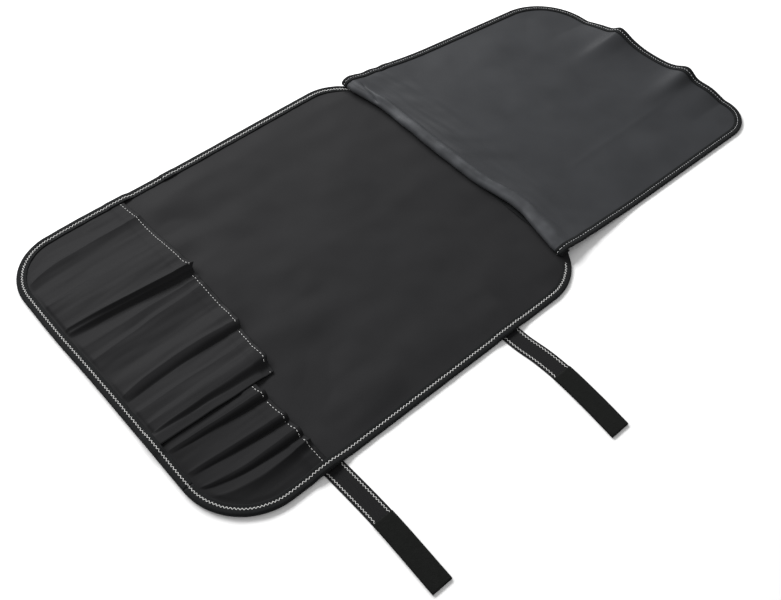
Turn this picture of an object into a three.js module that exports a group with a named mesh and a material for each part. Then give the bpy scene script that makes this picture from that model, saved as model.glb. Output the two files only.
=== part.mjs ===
// Chef knife roll, lying open: a bound leathercloth panel with pleated pockets, a bound flap and two straps.
// Millimetres, Z up, standing on z = 0. X runs from the pocket end to the flap's far edge, Y across the roll.
import * as THREE from 'three';
import { mergeVertices } from 'three/addons/utils/BufferGeometryUtils.js';

// Clearance between two sewn layers
const gap = 0.3;

// Back panel
const rollWidth = 456;
const panelLength = 530;
const pocketCornerLow = 78;
const pocketCornerHigh = 66;
const flapEndCorner = 70;
const panelThickness = 1.6;
const restMargin = 98;
const edgeFade = 35;

// Binding tape, folded over the edges of the panel and of the flap
const bindingWidth = 12;
const flapBindingWidth = 10;
const tapeThickness = 0.8;
const tapeFoldRound = 1.6;
const tapeLapPlace = 226;
const tapeLapLength = 16;
const tapeLapEase = 3;

// Pocket panels
const pocketThickness = 1.2;
const hemThickness = 2;
const hemDepth = 16;
const largePocketDepth = 172;
const smallPocketDepth = 133;
const pocketLap = 9;
const mouthRoom = 1;
const largePleatHeight = 9;
const smallPleatHeight = 7;

// Flap, sewn on the panel's end and turned over in a soft fold
const flapThickness = 1.4;
const flapLength = 356;
const flapWidth = 401;
const flapOffset = 9.5;
const flapTaper = 40;
const flapFlare = 6;
const farSkew = 25;
const farCornerLarge = 78;
const farCornerSmall = 45;
const foldSetback = 15;
const foldHeight = 13.5;
const foldDepth = 5;
const seamTuck = 9;
const foldCrestLength = 34;
const foldSlopeLength = 98;
const rippleHeight = 20;
const rippleReach = 95;
const rippleCurve = 1.6;

// Straps with hook and loop patches
const strapPlaces = [129.6, 386.6];
const strapWidth = 25.4;
const strapLength = 184;
const strapThickness = 1.2;
const strapTuck = 22;
const strapRoom = 2;
const patchLength = 90;
const patchThickness = 1.3;

// Distance over which a layer steps up or down onto another
const stepLength = 12;

// Worked out from the sizes above
const halfWidth = rollWidth / 2;
const hem = tapeThickness + gap;
const pocketCorner = Math.max(pocketCornerLow, pocketCornerHigh);
const lapRise = hemThickness + gap;
const sewnBand = strapTuck + 6;
const sewnFade = sewnBand + edgeFade;
const clearOfBinding = bindingWidth + 2;

// Folds of the large pocket panel, from its lower side to the bound edge. footAt and mouthAt are shares of
// half the roll's width at the bound end and at the mouth, lift is a share of the pleat height, depth is a
// share of the pocket's depth, and over tells what lies on the small pocket panel.
const largeFolds = [
  { footAt: -0.409, mouthAt: -0.425, lift: 0, depth: 0.915, over: 1 },
  { footAt: -0.352, mouthAt: -0.395, lift: 0, depth: 0.92, over: 1 },
  { footAt: -0.331, mouthAt: -0.33, lift: 0.68, depth: 0.928, over: 0 },
  { footAt: -0.285, mouthAt: -0.27, lift: 0.56, depth: 0.938, over: 0 },
  { footAt: -0.197, mouthAt: -0.2, lift: 0.24, depth: 0.95, over: 0 },
  { footAt: -0.145, mouthAt: -0.14, lift: 0.02, depth: 0.96, over: 0 },
  { footAt: -0.083, mouthAt: -0.075, lift: 0.62, depth: 0.98, over: 0 },
  { footAt: -0.035, mouthAt: -0.02, lift: 0.54, depth: 0.985, over: 0 },
  { footAt: 0.057, mouthAt: 0.06, lift: 0.12, depth: 0.99, over: 0 },
  { footAt: 0.175, mouthAt: 0.22, lift: 0.24, depth: 0.995, over: 0 },
  { footAt: 0.272, mouthAt: 0.272, lift: 0.12, depth: 1, over: 0 },
  { footAt: 0.355, mouthAt: 0.303, lift: 0, depth: 1, over: 0 },
  { footAt: 0.412, mouthAt: 0.351, lift: 1, depth: 1, over: 0 },
  { footAt: 0.452, mouthAt: 0.404, lift: 0.88, depth: 0.99, over: 0 },
  { footAt: 0.596, mouthAt: 0.579, lift: 0.42, depth: 1, over: 0 },
  { footAt: 0.74, mouthAt: 0.74, lift: 0.08, depth: 1, over: 0 },
  { footAt: 0.808, mouthAt: 0.808, lift: 0.22, depth: 1, over: 0 },
  { footAt: 0.93, mouthAt: 0.93, lift: 0, depth: 0.985, over: 0 },
  { footAt: 1, mouthAt: 1, lift: 0, depth: 0.985, over: 0 },
];

// Folds of the small pocket panel, from the bound edge up to the side that lies under the large one
const smallFolds = [
  { footAt: -1, mouthAt: -1, lift: 0 },
  { footAt: -0.93, mouthAt: -0.93, lift: 0 },
  { footAt: -0.877, mouthAt: -0.877, lift: 0.22 },
  { footAt: -0.835, mouthAt: -0.822, lift: 0.86 },
  { footAt: -0.8, mouthAt: -0.803, lift: 0 },
  { footAt: -0.737, mouthAt: -0.737, lift: 1 },
  { footAt: -0.715, mouthAt: -0.7, lift: 0.1 },
  { footAt: -0.604, mouthAt: -0.638, lift: 1 },
  { footAt: -0.575, mouthAt: -0.585, lift: 0.72 },
  { footAt: -0.52, mouthAt: -0.54, lift: 0 },
  { footAt: -0.466, mouthAt: -0.478, lift: 1 },
  { footAt: -0.437, mouthAt: -0.44, lift: 0 },
  {
    footAt: largeFolds[0].footAt + pocketLap / halfWidth,
    mouthAt: largeFolds[0].mouthAt + pocketLap / halfWidth,
    lift: 0,
  },
];

// How fast the pleats open from the bound end to the mouth
const openingCurve = 0.45;

// Waves of the outline, outwards: side, place as a share of the side, spread as a share, out in millimetres
// of a roll of this width
const outlineWaves = [
  { side: 'high', place: 0.2, spread: 0.14, out: rollWidth * 0.005 },
  { side: 'start', place: 0.22, spread: 0.12, out: rollWidth * 0.003 },
];

// Front of the flap's fold: across is a share of half the roll's width, push a share of the fold's height
const foldFront = [
  { across: -0.755, push: -0.45 },
  { across: -0.62, push: 0.1 },
  { across: -0.43, push: 0.62 },
  { across: -0.13, push: 0 },
  { across: 0.6, push: 0 },
  { across: 0.82, push: -0.55 },
];

// Ripples of the flap's far edge: between is a share of the straight edge between the round corners, lift a
// share of the ripple height
const ripples = [
  { between: 0, lift: 0 },
  { between: 0.09, lift: 0.34 },
  { between: 0.2, lift: 0.46 },
  { between: 0.27, lift: 0.92 },
  { between: 0.355, lift: 0.52 },
  { between: 0.42, lift: 0.36 },
  { between: 0.56, lift: 0.36 },
  { between: 0.655, lift: 0.58 },
  { between: 0.76, lift: 1 },
  { between: 0.817, lift: 0.6 },
  { between: 0.9, lift: 0.34 },
  { between: 1, lift: 0 },
];

// Sideways drift of each strap: at is a share of its length, drift a share of its width
const strapDrifts = [
  [
    { at: 0, drift: 0 },
    { at: 0.5, drift: 0.06 },
    { at: 1, drift: -0.08 },
  ],
  [
    { at: 0, drift: 0 },
    { at: 0.2, drift: 0.02 },
    { at: 0.36, drift: 0.15 },
    { at: 0.52, drift: 0.18 },
    { at: 0.78, drift: 0.06 },
    { at: 1, drift: -0.1 },
  ],
];

const clamp01 = (value) => Math.min(1, Math.max(0, value));
const mix = (from, to, share) => from + (to - from) * share;
const ramp = (value, from, to) => clamp01((value - from) / (to - from));
const ease = (share) => share * share * (3 - 2 * share);

// Value of one column of a table at a place, on straight lines between its rows
function readTable(rows, key, column, at) {
  const next = rows.findIndex((row) => row[key] > at);
  if (next === 0) return rows[0][column];
  if (next < 0) return rows[rows.length - 1][column];
  const share = ramp(at, rows[next - 1][key], rows[next][key]);
  return mix(rows[next - 1][column], rows[next][column], share);
}

// Sorted places with near doubles left out
function stations(places, from, to) {
  const closest = 0.6;
  const sorted = places.filter((place) => place > from + closest && place < to - closest);
  sorted.sort((a, b) => a - b);
  const kept = sorted.filter((place, index) => index === 0 || place - sorted[index - 1] > closest);
  return [from, ...kept, to];
}

// Places along a round corner, each at an equal turn of the corner's arc
function cornerStations(centre, radius, direction, steps) {
  const places = [];
  for (let step = 0; step <= steps; step += 1) {
    const turn = (Math.PI / 2) * (step / steps);
    places.push(centre + direction * (radius - hem) * Math.sin(turn));
  }
  return places;
}

// Point on a sheet's outline, moved inwards by inset. along is the place of the cut cloth's edge.
function outlinePoint(sheet, along, side, inset) {
  const sign = side === 'high' ? 1 : -1;
  const atStart = along < sheet.startCorner[side];
  const atEnd = along > sheet.length - sheet.endCorner[side];
  if (!atStart && !atEnd) return { along, across: sheet.edge(side, along) - sign * inset };
  const radius = atStart ? sheet.startCorner[side] : sheet.endCorner[side];
  const centre = atStart ? radius : sheet.length - radius;
  const sine = Math.min(1, Math.abs(along - centre) / (radius - hem));
  const cosine = Math.sqrt(1 - sine * sine);
  const direction = atStart ? -1 : 1;
  return {
    along: centre + direction * (radius - inset) * sine,
    across: sheet.edge(side, centre) - sign * (radius - (radius - inset) * cosine),
  };
}

// Across place of a sheet's column, drawn in where a corner narrows the sheet
const cornerMargin = 4;
function squeeze(sheet, along, across) {
  const side = across > (sheet.edge('low', along) + sheet.edge('high', along)) / 2 ? 'high' : 'low';
  const sign = side === 'high' ? 1 : -1;
  const nearStart = along < sheet.length / 2;
  const radius = nearStart ? sheet.startCorner[side] : sheet.endCorner[side];
  const full = sheet.edge(side, along) - sign * hem;
  const limit = full - sign * (radius + cornerMargin);
  if (radius === 0 || sign * (across - limit) <= 0) return across;
  const actual = outlinePoint(sheet, along, side, hem).across;
  return limit + ((across - limit) * (actual - limit)) / (full - limit);
}

// A closed sheet: a box whose vertices are placed by row, column and side, the top being 1
function sheetGeometry(rows, columns, place) {
  const geometry = new THREE.BoxGeometry(1, 1, 1, rows.length - 1, columns.length - 1, 1);
  const position = geometry.attributes.position;
  for (let index = 0; index < position.count; index += 1) {
    const row = Math.round((position.getX(index) + 0.5) * (rows.length - 1));
    const column = Math.round((position.getY(index) + 0.5) * (columns.length - 1));
    const side = position.getZ(index) > 0 ? 1 : -1;
    const point = place(rows[row], columns[column], side);
    position.setXYZ(index, point.x, point.y, point.z);
  }
  return merged(geometry);
}

// A closed ring: a torus whose vertices are placed by station round the loop and point of the section
function ringGeometry(loop, section, place) {
  const geometry = new THREE.TorusGeometry(2, 1, section.length, loop.length);
  const { position, uv } = geometry.attributes;
  for (let index = 0; index < position.count; index += 1) {
    const station = Math.round(uv.getX(index) * loop.length) % loop.length;
    const corner = Math.round(uv.getY(index) * section.length) % section.length;
    const point = place(loop[station], section[corner]);
    position.setXYZ(index, point.x, point.y, point.z);
  }
  return merged(geometry);
}

function merged(geometry) {
  geometry.deleteAttribute('normal');
  geometry.deleteAttribute('uv');
  return mergeVertices(geometry);
}

// Section of a folded tape, round from its fold: how far in, which leg (1 over, -1 under) and which face
const tapeSection = (width) => [
  { inset: 0, leg: 0, inner: 0 },
  { inset: tapeFoldRound, leg: 1, inner: 0 },
  { inset: width, leg: 1, inner: 0 },
  { inset: width, leg: 1, inner: 1 },
  { inset: tapeThickness, leg: 1, inner: 1 },
  { inset: tapeThickness, leg: 0, inner: 1 },
  { inset: tapeThickness, leg: -1, inner: 1 },
  { inset: width, leg: -1, inner: 1 },
  { inset: width, leg: -1, inner: 0 },
  { inset: tapeFoldRound, leg: -1, inner: 0 },
];

// The back panel's outline
const panel = {
  length: panelLength,
  startCorner: { low: pocketCornerLow, high: pocketCornerHigh },
  endCorner: { low: flapEndCorner, high: flapEndCorner },
  edge: (side) => (side === 'high' ? halfWidth : -halfWidth),
};

const strapHalf = strapWidth / 2;
const underStrap = strapHalf + strapRoom;
const strapSteps = strapPlaces.flatMap((place) => [
  place - underStrap - stepLength,
  place - underStrap,
  place + underStrap,
  place + underStrap + stepLength,
]);
const mouthSteps = [smallPocketDepth, largePocketDepth].flatMap((depth) => [
  depth - hemDepth - stepLength / 2,
  depth - hemDepth,
  depth + mouthRoom,
  depth + mouthRoom + stepLength,
]);
const tapeLapSteps = [
  tapeLapPlace - tapeLapEase,
  tapeLapPlace,
  tapeLapPlace + tapeLapLength,
  tapeLapPlace + tapeLapLength + tapeLapEase,
];
const restStart = largePocketDepth + stepLength * 2;
const restEnd = panelLength - flapEndCorner - stepLength;
const restSteps = [restStart, restStart + stepLength * 2, restEnd - stepLength * 2, restEnd];
const cornerSteps = 8;
const panelRows = stations(
  [
    ...cornerStations(pocketCorner, pocketCorner, -1, cornerSteps),
    mix(pocketCorner, largePocketDepth, 0.3),
    ...strapSteps,
    ...mouthSteps,
    ...tapeLapSteps,
    ...restSteps,
    mix(restStart, restEnd, 0.5),
    ...cornerStations(panelLength - flapEndCorner, flapEndCorner, 1, cornerSteps),
  ],
  hem,
  panelLength - hem,
);

// Rise of the panel's underside where a strap is sewn under its low edge
function strapRise(x, y) {
  const across = 1 - ramp(y, sewnBand - halfWidth, sewnFade - halfWidth);
  const rises = strapPlaces.map((place) => {
    const [from, to] = [place - underStrap, place + underStrap];
    return Math.min(ramp(x, from - stepLength, from), 1 - ramp(x, to, to + stepLength));
  });
  return (strapThickness + gap) * across * Math.max(...rises);
}

// The panel's middle lies flat on the surface, lower than the bound edges
function restSag(x, y) {
  const along = Math.min(ramp(x, restStart, restSteps[1]), 1 - ramp(x, restSteps[2], restEnd));
  const across = 1 - ramp(Math.abs(y), halfWidth - restMargin, halfWidth - sewnFade);
  return hem * along * across;
}

const panelUnder = (x, y) => hem + strapRise(x, y) - restSag(x, y);
const panelTop = (x, y) => panelUnder(x, y) + panelThickness;

// Plan waves of the outline, carried by every layer of the roll
function waved(x, y) {
  let [waveX, waveY] = [0, 0];
  for (const { side, place, spread, out } of outlineWaves) {
    const at = side === 'start' ? y / rollWidth : x / panelLength;
    const swell = out * Math.exp(-(((at - place) / spread) ** 2));
    if (side === 'start') waveX -= swell * (1 - ramp(x, 0, panelLength / 3));
    else waveY += swell * ramp(y, 0, halfWidth);
  }
  return { x: x + waveX, y: y + waveY };
}

function rollPoint(x, y, z) {
  return { ...waved(x, y), z };
}

// Distance in from the panel's outline near the pocket end
function insetAt(x, y) {
  const corner = y < 0 ? pocketCornerLow : pocketCornerHigh;
  const beyondX = corner - x;
  const beyondY = Math.abs(y) - (halfWidth - corner);
  if (beyondX > 0 && beyondY > 0) return corner - Math.hypot(beyondX, beyondY);
  return Math.min(x, halfWidth - Math.abs(y));
}

// Thickness of a pocket panel, doubled at its hem
function pocketCloth(x, depth) {
  const hemStart = depth - hemDepth;
  return mix(pocketThickness, hemThickness, ramp(x, hemStart - stepLength / 2, hemStart));
}

// The strip along which the large pocket panel lies on the small one, where both are bound
const lapLow = largeFolds[0].footAt * halfWidth;
const lapHigh = largeFolds[1].footAt * halfWidth;

const lapSteps = [lapLow - stepLength, lapLow - 2, lapHigh + 2, lapHigh + stepLength];

const lapEnd = smallPocketDepth + stepLength + cornerMargin;

// What the tape's upper leg is folded over: the panel, and the pocket panels where they are bound in
function boundTop(x, y) {
  const depth = y > lapLow ? largePocketDepth : smallPocketDepth;
  const cover = 1 - ramp(x, depth + mouthRoom, depth + mouthRoom + stepLength);
  const rising = ramp(y, lapSteps[0], lapSteps[1]);
  const falling = 1 - ramp(y, lapSteps[2], lapSteps[3]);
  const lapped = x < pocketCorner ? lapRise * Math.min(rising, falling) : 0;
  const [before, start, end, after] = tapeLapSteps;
  const folded = tapeThickness * Math.min(ramp(x, before, start), 1 - ramp(x, end, after));
  const doubled = y > halfWidth - pocketCorner ? folded : 0;
  const cloth = pocketCloth(x + stepLength / 3, depth);
  return panelTop(x, y) + cover * (gap + cloth) + lapped + doubled;
}

// Back panel
function backPanel() {
  const across = (share) => share * (halfWidth - hem);
  const sides = [0, sewnBand, sewnFade, restMargin].map((inset) => 1 - inset / halfWidth);
  const columns = [...sides.map((share) => -share), 0, ...sides.toReversed()].map(across);
  return sheetGeometry(panelRows, columns, (x, y, side) => {
    const z = side > 0 ? panelTop(x, y) : panelUnder(x, y);
    return rollPoint(x, squeeze(panel, x, y), z);
  });
}

// Stations of the binding along the pocket end, as shares of its straight length
const startShares = [0.1, 0.34, 0.45, 0.54, 0.63, 0.72, 0.81, 0.9];

// Binding of the back panel, one closed loop of folded tape
function backBinding() {
  const startLow = pocketCornerLow - halfWidth;
  const startHigh = halfWidth - pocketCornerHigh;
  const startPlaces = startShares.map((share) => mix(startLow, startHigh, share));
  const startEdge = stations([...lapSteps, ...startPlaces], startLow, startHigh).slice(1, -1);
  const endEdge = [-0.5, 0, 0.5].map((share) => share * (halfWidth - flapEndCorner));
  const loop = [
    ...panelRows.map((x) => (inset) => outlinePoint(panel, x, 'low', inset)),
    ...endEdge.map((y) => (inset) => ({ along: panelLength - inset, across: y })),
    ...panelRows.toReversed().map((x) => (inset) => outlinePoint(panel, x, 'high', inset)),
    ...startEdge.toReversed().map((y) => (inset) => ({ along: inset, across: y })),
  ];
  return ringGeometry(loop, tapeSection(bindingWidth), (station, { inset, leg, inner }) => {
    const { along, across } = station(inset);
    const low = panelUnder(along, across) - hem;
    const high = boundTop(along, across) + hem;
    const level = mix(low, high, (leg + 1) / 2) - leg * inner * tapeThickness;
    return rollPoint(along, across, level);
  });
}

// A pocket panel: rows run from the bound end to the mouth, columns follow its folds
function pocketPanel({ rows, folds, depth, pleatHeight, overLift }) {
  const columns = [];
  folds.forEach((fold, index) => {
    if (index > 0) columns.push({ from: folds[index - 1], to: fold, share: 0.5 });
    columns.push({ from: fold, to: fold, share: 0 });
  });
  return sheetGeometry(rows, columns, (along, { from, to, share }, side) => {
    const read = (column) => mix(from[column] ?? 0, to[column] ?? 0, share);
    const opened = ramp(along, clearOfBinding, depth);
    const across = mix(read('footAt'), read('mouthAt'), opened) * halfWidth;
    const beyond = Math.max(0, along - pocketCorner) / (depth - pocketCorner);
    const mouth = depth * (from.depth === undefined ? 1 : read('depth'));
    const x = along - beyond * (depth - mouth);
    const cut = halfWidth - hem;
    const y = squeeze(panel, along, Math.min(cut, Math.max(-cut, across)));
    const inside = ease(ramp(insetAt(x, y), clearOfBinding, clearOfBinding * 2));
    const lift = pleatHeight * mix(from.lift, to.lift, ease(share)) * opened ** openingCurve * inside;
    const over = overLift(along) * read('over');
    const under = panelTop(x, y) + gap + lift + over;
    const cloth = pocketCloth(along, depth);
    return rollPoint(x, y, side > 0 ? under + cloth : under);
  });
}

function largePocketPanel() {
  const corner = cornerStations(pocketCorner, pocketCorner, -1, cornerSteps);
  const hemStart = largePocketDepth - hemDepth;
  const plain = [0.35, 0.7].map((share) => mix(pocketCorner, hemStart - stepLength / 2, share));
  const hemSteps = [hemStart - stepLength / 2, hemStart, lapEnd, lapEnd + stepLength];
  return pocketPanel({
    rows: stations([...corner, ...plain, ...hemSteps], hem, largePocketDepth),
    folds: largeFolds,
    depth: largePocketDepth,
    pleatHeight: largePleatHeight,
    overLift: (x) => lapRise * (1 - ramp(x, lapEnd, lapEnd + stepLength)),
  });
}

function smallPocketPanel() {
  return pocketPanel({
    rows: stations(panelRows, hem, smallPocketDepth),
    folds: smallFolds,
    depth: smallPocketDepth,
    pleatHeight: smallPleatHeight,
    overLift: () => 0,
  });
}

// The flap's outline, measured along the sheet from the top of its fold
const flap = {
  length: flapLength,
  startCorner: { low: -Infinity, high: -Infinity },
  endCorner: { low: farCornerSmall, high: farCornerLarge },
  edge: (side, along) => {
    const share = ramp(along, 0, flapLength);
    if (side === 'high') return flapOffset + flapWidth / 2 - flapTaper * share;
    return flapOffset - flapWidth / 2 - flapFlare * share;
  },
};

const flapRest = hem + flapThickness / 2;
const panelEndTop = hem + panelThickness + hem;
const tuckHeight = panelEndTop + gap + flapRest;
const turnHalf = (foldHeight - tuckHeight) / 2;
const turnLength = (Math.PI * (foldDepth + turnHalf)) / 2;
const foldEdge = panelLength - foldSetback;
const farWidth = flapWidth - flapTaper + flapFlare;
const straightShares = [
  (farCornerSmall + cornerMargin + hem) / farWidth,
  1 - (farCornerLarge + cornerMargin + hem) / farWidth,
];
const flapRestSteps = [0.48, 0.58, 0.68, 0.75].map((share) => share * flapLength);
const flapRestHalves = [0.25, 0.33];

// Run of the flap's sheet along the roll: under the fold, round it, over its crest and down to the surface
function foldRun(along) {
  if (along < -turnLength) return { x: foldDepth - along - turnLength, z: tuckHeight };
  if (along < 0) {
    const angle = (Math.PI * -along) / turnLength;
    const x = foldDepth * (1 - Math.sin(angle));
    return { x, z: foldHeight - turnHalf * (1 - Math.cos(angle)) };
  }
  const slope = ease(ramp(along, foldCrestLength, foldCrestLength + foldSlopeLength));
  return { x: foldDepth + along, z: mix(foldHeight, flapRest, slope) };
}

// Middle surface of the flap's sheet
function flapSurface(along, across) {
  const { x, z } = foldRun(along);
  const push = foldHeight * readTable(foldFront, 'across', 'push', across / halfWidth);
  const pushed = push * (1 - ease(ramp(along, 0, foldCrestLength * 2)));
  const skew = farSkew * ramp(along, 0, flapLength) * ((across - flapOffset) / flapWidth);
  const low = flap.edge('low', along);
  const share = (across - low) / (flap.edge('high', along) - low);
  const reach = ramp(along, flapLength - rippleReach, flapLength) ** rippleCurve;
  const between = ramp(share, ...straightShares);
  const ripple = rippleHeight * reach * readTable(ripples, 'between', 'lift', between);
  const inside = 1 - ramp(Math.abs(share - 0.5), ...flapRestHalves);
  const [from, full, leave, to] = flapRestSteps;
  const lies = Math.min(ramp(along, from, full), 1 - ramp(along, leave, to));
  const tucked = ramp(-along, 0, turnLength);
  const sag = hem * inside * Math.max(lies, tucked);
  return new THREE.Vector3(foldEdge + x + pushed - skew, across, z + ripple - sag);
}

// A point of the flap, offset from its middle surface along that surface's normal
function flapPoint(along, across, offset) {
  const step = 0.05;
  const alongStep = flapSurface(along + step, across).sub(flapSurface(along - step, across));
  const acrossStep = flapSurface(along, across + step).sub(flapSurface(along, across - step));
  const normal = alongStep.cross(acrossStep).normalize();
  return flapSurface(along, across).addScaledVector(normal, offset);
}

const turnSteps = 6;
const flapRows = stations(
  [
    ...Array.from({ length: turnSteps + 1 }, (_, step) => (-turnLength * step) / turnSteps),
    foldCrestLength * 0.5,
    foldCrestLength,
    ...[0.16, 0.32, 0.5, 0.68, 0.84, 1].map((share) => foldCrestLength + foldSlopeLength * share),
    ...flapRestSteps,
    flapLength - rippleReach,
    ...cornerStations(flapLength - farCornerLarge, farCornerLarge, 1, cornerSteps),
  ],
  -turnLength - seamTuck,
  flapLength - hem,
);
const rippleColumns = ripples.map((row) => mix(...straightShares, row.between));
const flapColumns = [0, 0.045, ...rippleColumns, mix(straightShares[1], 1, 0.4), 0.95, 1];

function flapPanel() {
  return sheetGeometry(flapRows, flapColumns, (along, share, side) => {
    const low = flap.edge('low', along) + hem;
    const high = flap.edge('high', along) - hem;
    const across = squeeze(flap, along, mix(low, high, share));
    return flapPoint(along, across, (side * flapThickness) / 2);
  });
}

// Binding of the flap's three open sides. Its ends go under the fold with the sheet.
function flapBinding() {
  const farAlong = flapLength - hem;
  const [farLow, farHigh] = ['low', 'high'].map((side) => outlinePoint(flap, farAlong, side, hem).across);
  const acrossFlap = (along, share) => {
    const [low, high] = [flap.edge('low', along) + hem, flap.edge('high', along) - hem];
    return mix(low, high, share);
  };
  const farShares = flapColumns.filter((share) => {
    const across = acrossFlap(farAlong, share);
    return across > farLow + 1 && across < farHigh - 1;
  });
  const path = [
    ...flapRows.map((along) => (inset) => outlinePoint(flap, along, 'low', inset)),
    ...farShares.map((share) => (inset) => {
      const along = flapLength - inset;
      return { along, across: acrossFlap(along, share) };
    }),
    ...flapRows.toReversed().map((along) => (inset) => outlinePoint(flap, along, 'high', inset)),
  ];
  const legs = tapeSection(flapBindingWidth);
  const outer = [legs[8], legs[9], legs[0], legs[1], legs[2]];
  const inner = [legs[7], legs[6], legs[5], legs[4], legs[3]];
  const strips = outer.map((_, index) => index);
  return sheetGeometry(path, strips, (station, strip, side) => {
    const { inset, leg } = side > 0 ? outer[strip] : inner[strip];
    const { along, across } = station(inset);
    const offset = leg * (flapThickness / 2 + gap + (side > 0 ? tapeThickness : 0));
    return flapPoint(along, across, offset);
  });
}

// A strap or a patch on it, from one distance along the strap to another
function ribbonGeometry(index, from, to, under, thickness) {
  const steps = 12;
  const rows = Array.from({ length: steps + 1 }, (_, step) => mix(from, to, step / steps));
  const columns = [-strapHalf, 0, strapHalf];
  return sheetGeometry(rows, columns, (along, across, side) => {
    const drift = strapWidth * readTable(strapDrifts[index], 'at', 'drift', along / strapLength);
    const x = strapPlaces[index] + drift + across;
    const y = strapTuck - halfWidth - along;
    return { x, y, z: side > 0 ? under + thickness : under };
  });
}

const leathercloth = { color: 0x323234, roughness: 0.62, metalness: 0 };
const flapCloth = { color: 0x424345, roughness: 0.55, metalness: 0 };
const bindingTape = { color: 0x1e1f20, roughness: 0.8, metalness: 0 };
const webbing = { color: 0x242526, roughness: 0.85, metalness: 0 };
const loopPile = { color: 0x212221, roughness: 0.95, metalness: 0 };

function piece(name, geometry, finish) {
  const mesh = new THREE.Mesh(geometry, new THREE.MeshStandardMaterial(finish));
  mesh.name = name;
  return mesh;
}

const body = new THREE.Group();
body.add(
  piece('back_panel', backPanel(), leathercloth),
  piece('back_binding', backBinding(), bindingTape),
  piece('pocket_panel_large', largePocketPanel(), leathercloth),
  piece('pocket_panel_small', smallPocketPanel(), leathercloth),
);

const flapGroup = new THREE.Group();
flapGroup.add(
  piece('flap_panel', flapPanel(), flapCloth),
  piece('flap_binding', flapBinding(), bindingTape),
);

const straps = new THREE.Group();
strapPlaces.forEach((_, index) => {
  const patchStart = strapLength - patchLength;
  const patchUnder = strapThickness + gap;
  const strap = ribbonGeometry(index, 0, strapLength, 0, strapThickness);
  const patch = ribbonGeometry(index, patchStart, strapLength, patchUnder, patchThickness);
  straps.add(piece(`strap_${index + 1}`, strap, webbing));
  straps.add(piece(`hook_patch_${index + 1}`, patch, loopPile));
});

// The origin is the middle of the whole roll's box, on the surface it lies on
const roll = new THREE.Group();
roll.add(body, flapGroup, straps);
const extent = new THREE.Box3().setFromObject(roll);
const middle = extent.getCenter(new THREE.Vector3());
roll.position.set(-middle.x, -middle.y, -extent.min.z);

export default roll;
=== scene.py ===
"""Chef knife roll lying open: cloth, folded tape, webbing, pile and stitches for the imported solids."""
import math
from bisect import bisect_right
from collections import namedtuple

import bmesh
import bpy
from bpy.props import FloatProperty, FloatVectorProperty, PointerProperty
from mathutils import Matrix, Vector, noise


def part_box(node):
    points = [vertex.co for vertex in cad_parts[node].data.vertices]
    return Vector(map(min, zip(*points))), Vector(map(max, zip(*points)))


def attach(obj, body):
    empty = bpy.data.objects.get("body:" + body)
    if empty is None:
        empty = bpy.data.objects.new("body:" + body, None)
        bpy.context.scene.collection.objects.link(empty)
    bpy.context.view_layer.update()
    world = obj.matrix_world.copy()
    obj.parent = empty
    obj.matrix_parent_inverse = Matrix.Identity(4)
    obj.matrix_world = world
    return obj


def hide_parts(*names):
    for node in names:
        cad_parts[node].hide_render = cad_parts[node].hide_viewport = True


bl_info = {
    "name": "Knife roll",
    "version": (1, 0, 0),
    "blender": (4, 5, 0),
    "location": "View3D > Sidebar > Knife roll",
    "description": "Builds a chef knife roll lying open, with its pockets, flap, straps and stitching",
    "category": "Add Mesh",
}

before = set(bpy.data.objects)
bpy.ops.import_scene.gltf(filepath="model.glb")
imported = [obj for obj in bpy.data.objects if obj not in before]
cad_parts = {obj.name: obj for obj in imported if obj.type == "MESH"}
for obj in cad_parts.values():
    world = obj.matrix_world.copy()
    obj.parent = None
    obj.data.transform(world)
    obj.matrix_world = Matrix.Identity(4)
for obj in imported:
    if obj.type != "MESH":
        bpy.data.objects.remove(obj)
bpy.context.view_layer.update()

# One millimetre in metres
MM = 0.001

# Sizes from here on are in millimetres, in the roll's own plan: x from the pocket end to the flap, y across,
# the straps at -y
GAP = 0.3
STEP_LENGTH = 12
CORNER_MARGIN = 4
ARC_STEP = 1.5

# The back panel, whose middle lies lower than its bound edges
ROLL_WIDTH = 456
PANEL_LENGTH = 530
PANEL_THICKNESS = 1.6
POCKET_CORNER_LOW = 78
POCKET_CORNER_HIGH = 66
FLAP_END_CORNER = 70
REST_MARGIN = 98
EDGE_FADE = 35

# The tapes folded over the edges, and the lap of the back binding's ends
BINDING_WIDTH = 12
FLAP_BINDING_WIDTH = 10
TAPE_THICKNESS = 0.8
TAPE_LAP_PLACE = 226
TAPE_LAP_LENGTH = 16
TAPE_LAP_START = 1
TAPE_LAP_END = 3
UNDER_FLAP_MARGIN = 6

# The pocket panels; a hem is HEM_DEPTH deep, and HEM_TURNED of the flat cloth is turned in for it
POCKET_THICKNESS = 1.2
LARGE_POCKET_DEPTH = 169
SMALL_POCKET_DEPTH = 130
POCKET_LAP = 9
POCKET_FULLNESS = 1.1
HEM_THICKNESS = 2
HEM_DEPTH = 16
HEM_TURNED = 19
HEM_ROUND = 1.2
HEM_ROUND_DROP = 0.6
HEM_STITCH_INSET = 5
CHANNEL_DEPTH = 0.35
CHANNEL_SPREAD = 1.3

# The pleats of the pocket panels, their creases and their tips at the mouth
LARGE_PLEAT_HEIGHT = 9
SMALL_PLEAT_HEIGHT = 7
PLEAT_START = 0.5
PLEAT_LEAN = 2.4
PLEAT_BOW = 5.9
BOWED_PLACE = -0.08
BOWED_SPREAD = 0.06
GAP_LIFT = 0.1
GAP_STEEPNESS = 3
CREASE_REACH = 3
TIP_LENGTH = 5
TIP_REACH = 12
TIP_CURL = 1.6
TIP_CURL_REACH = 6

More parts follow.
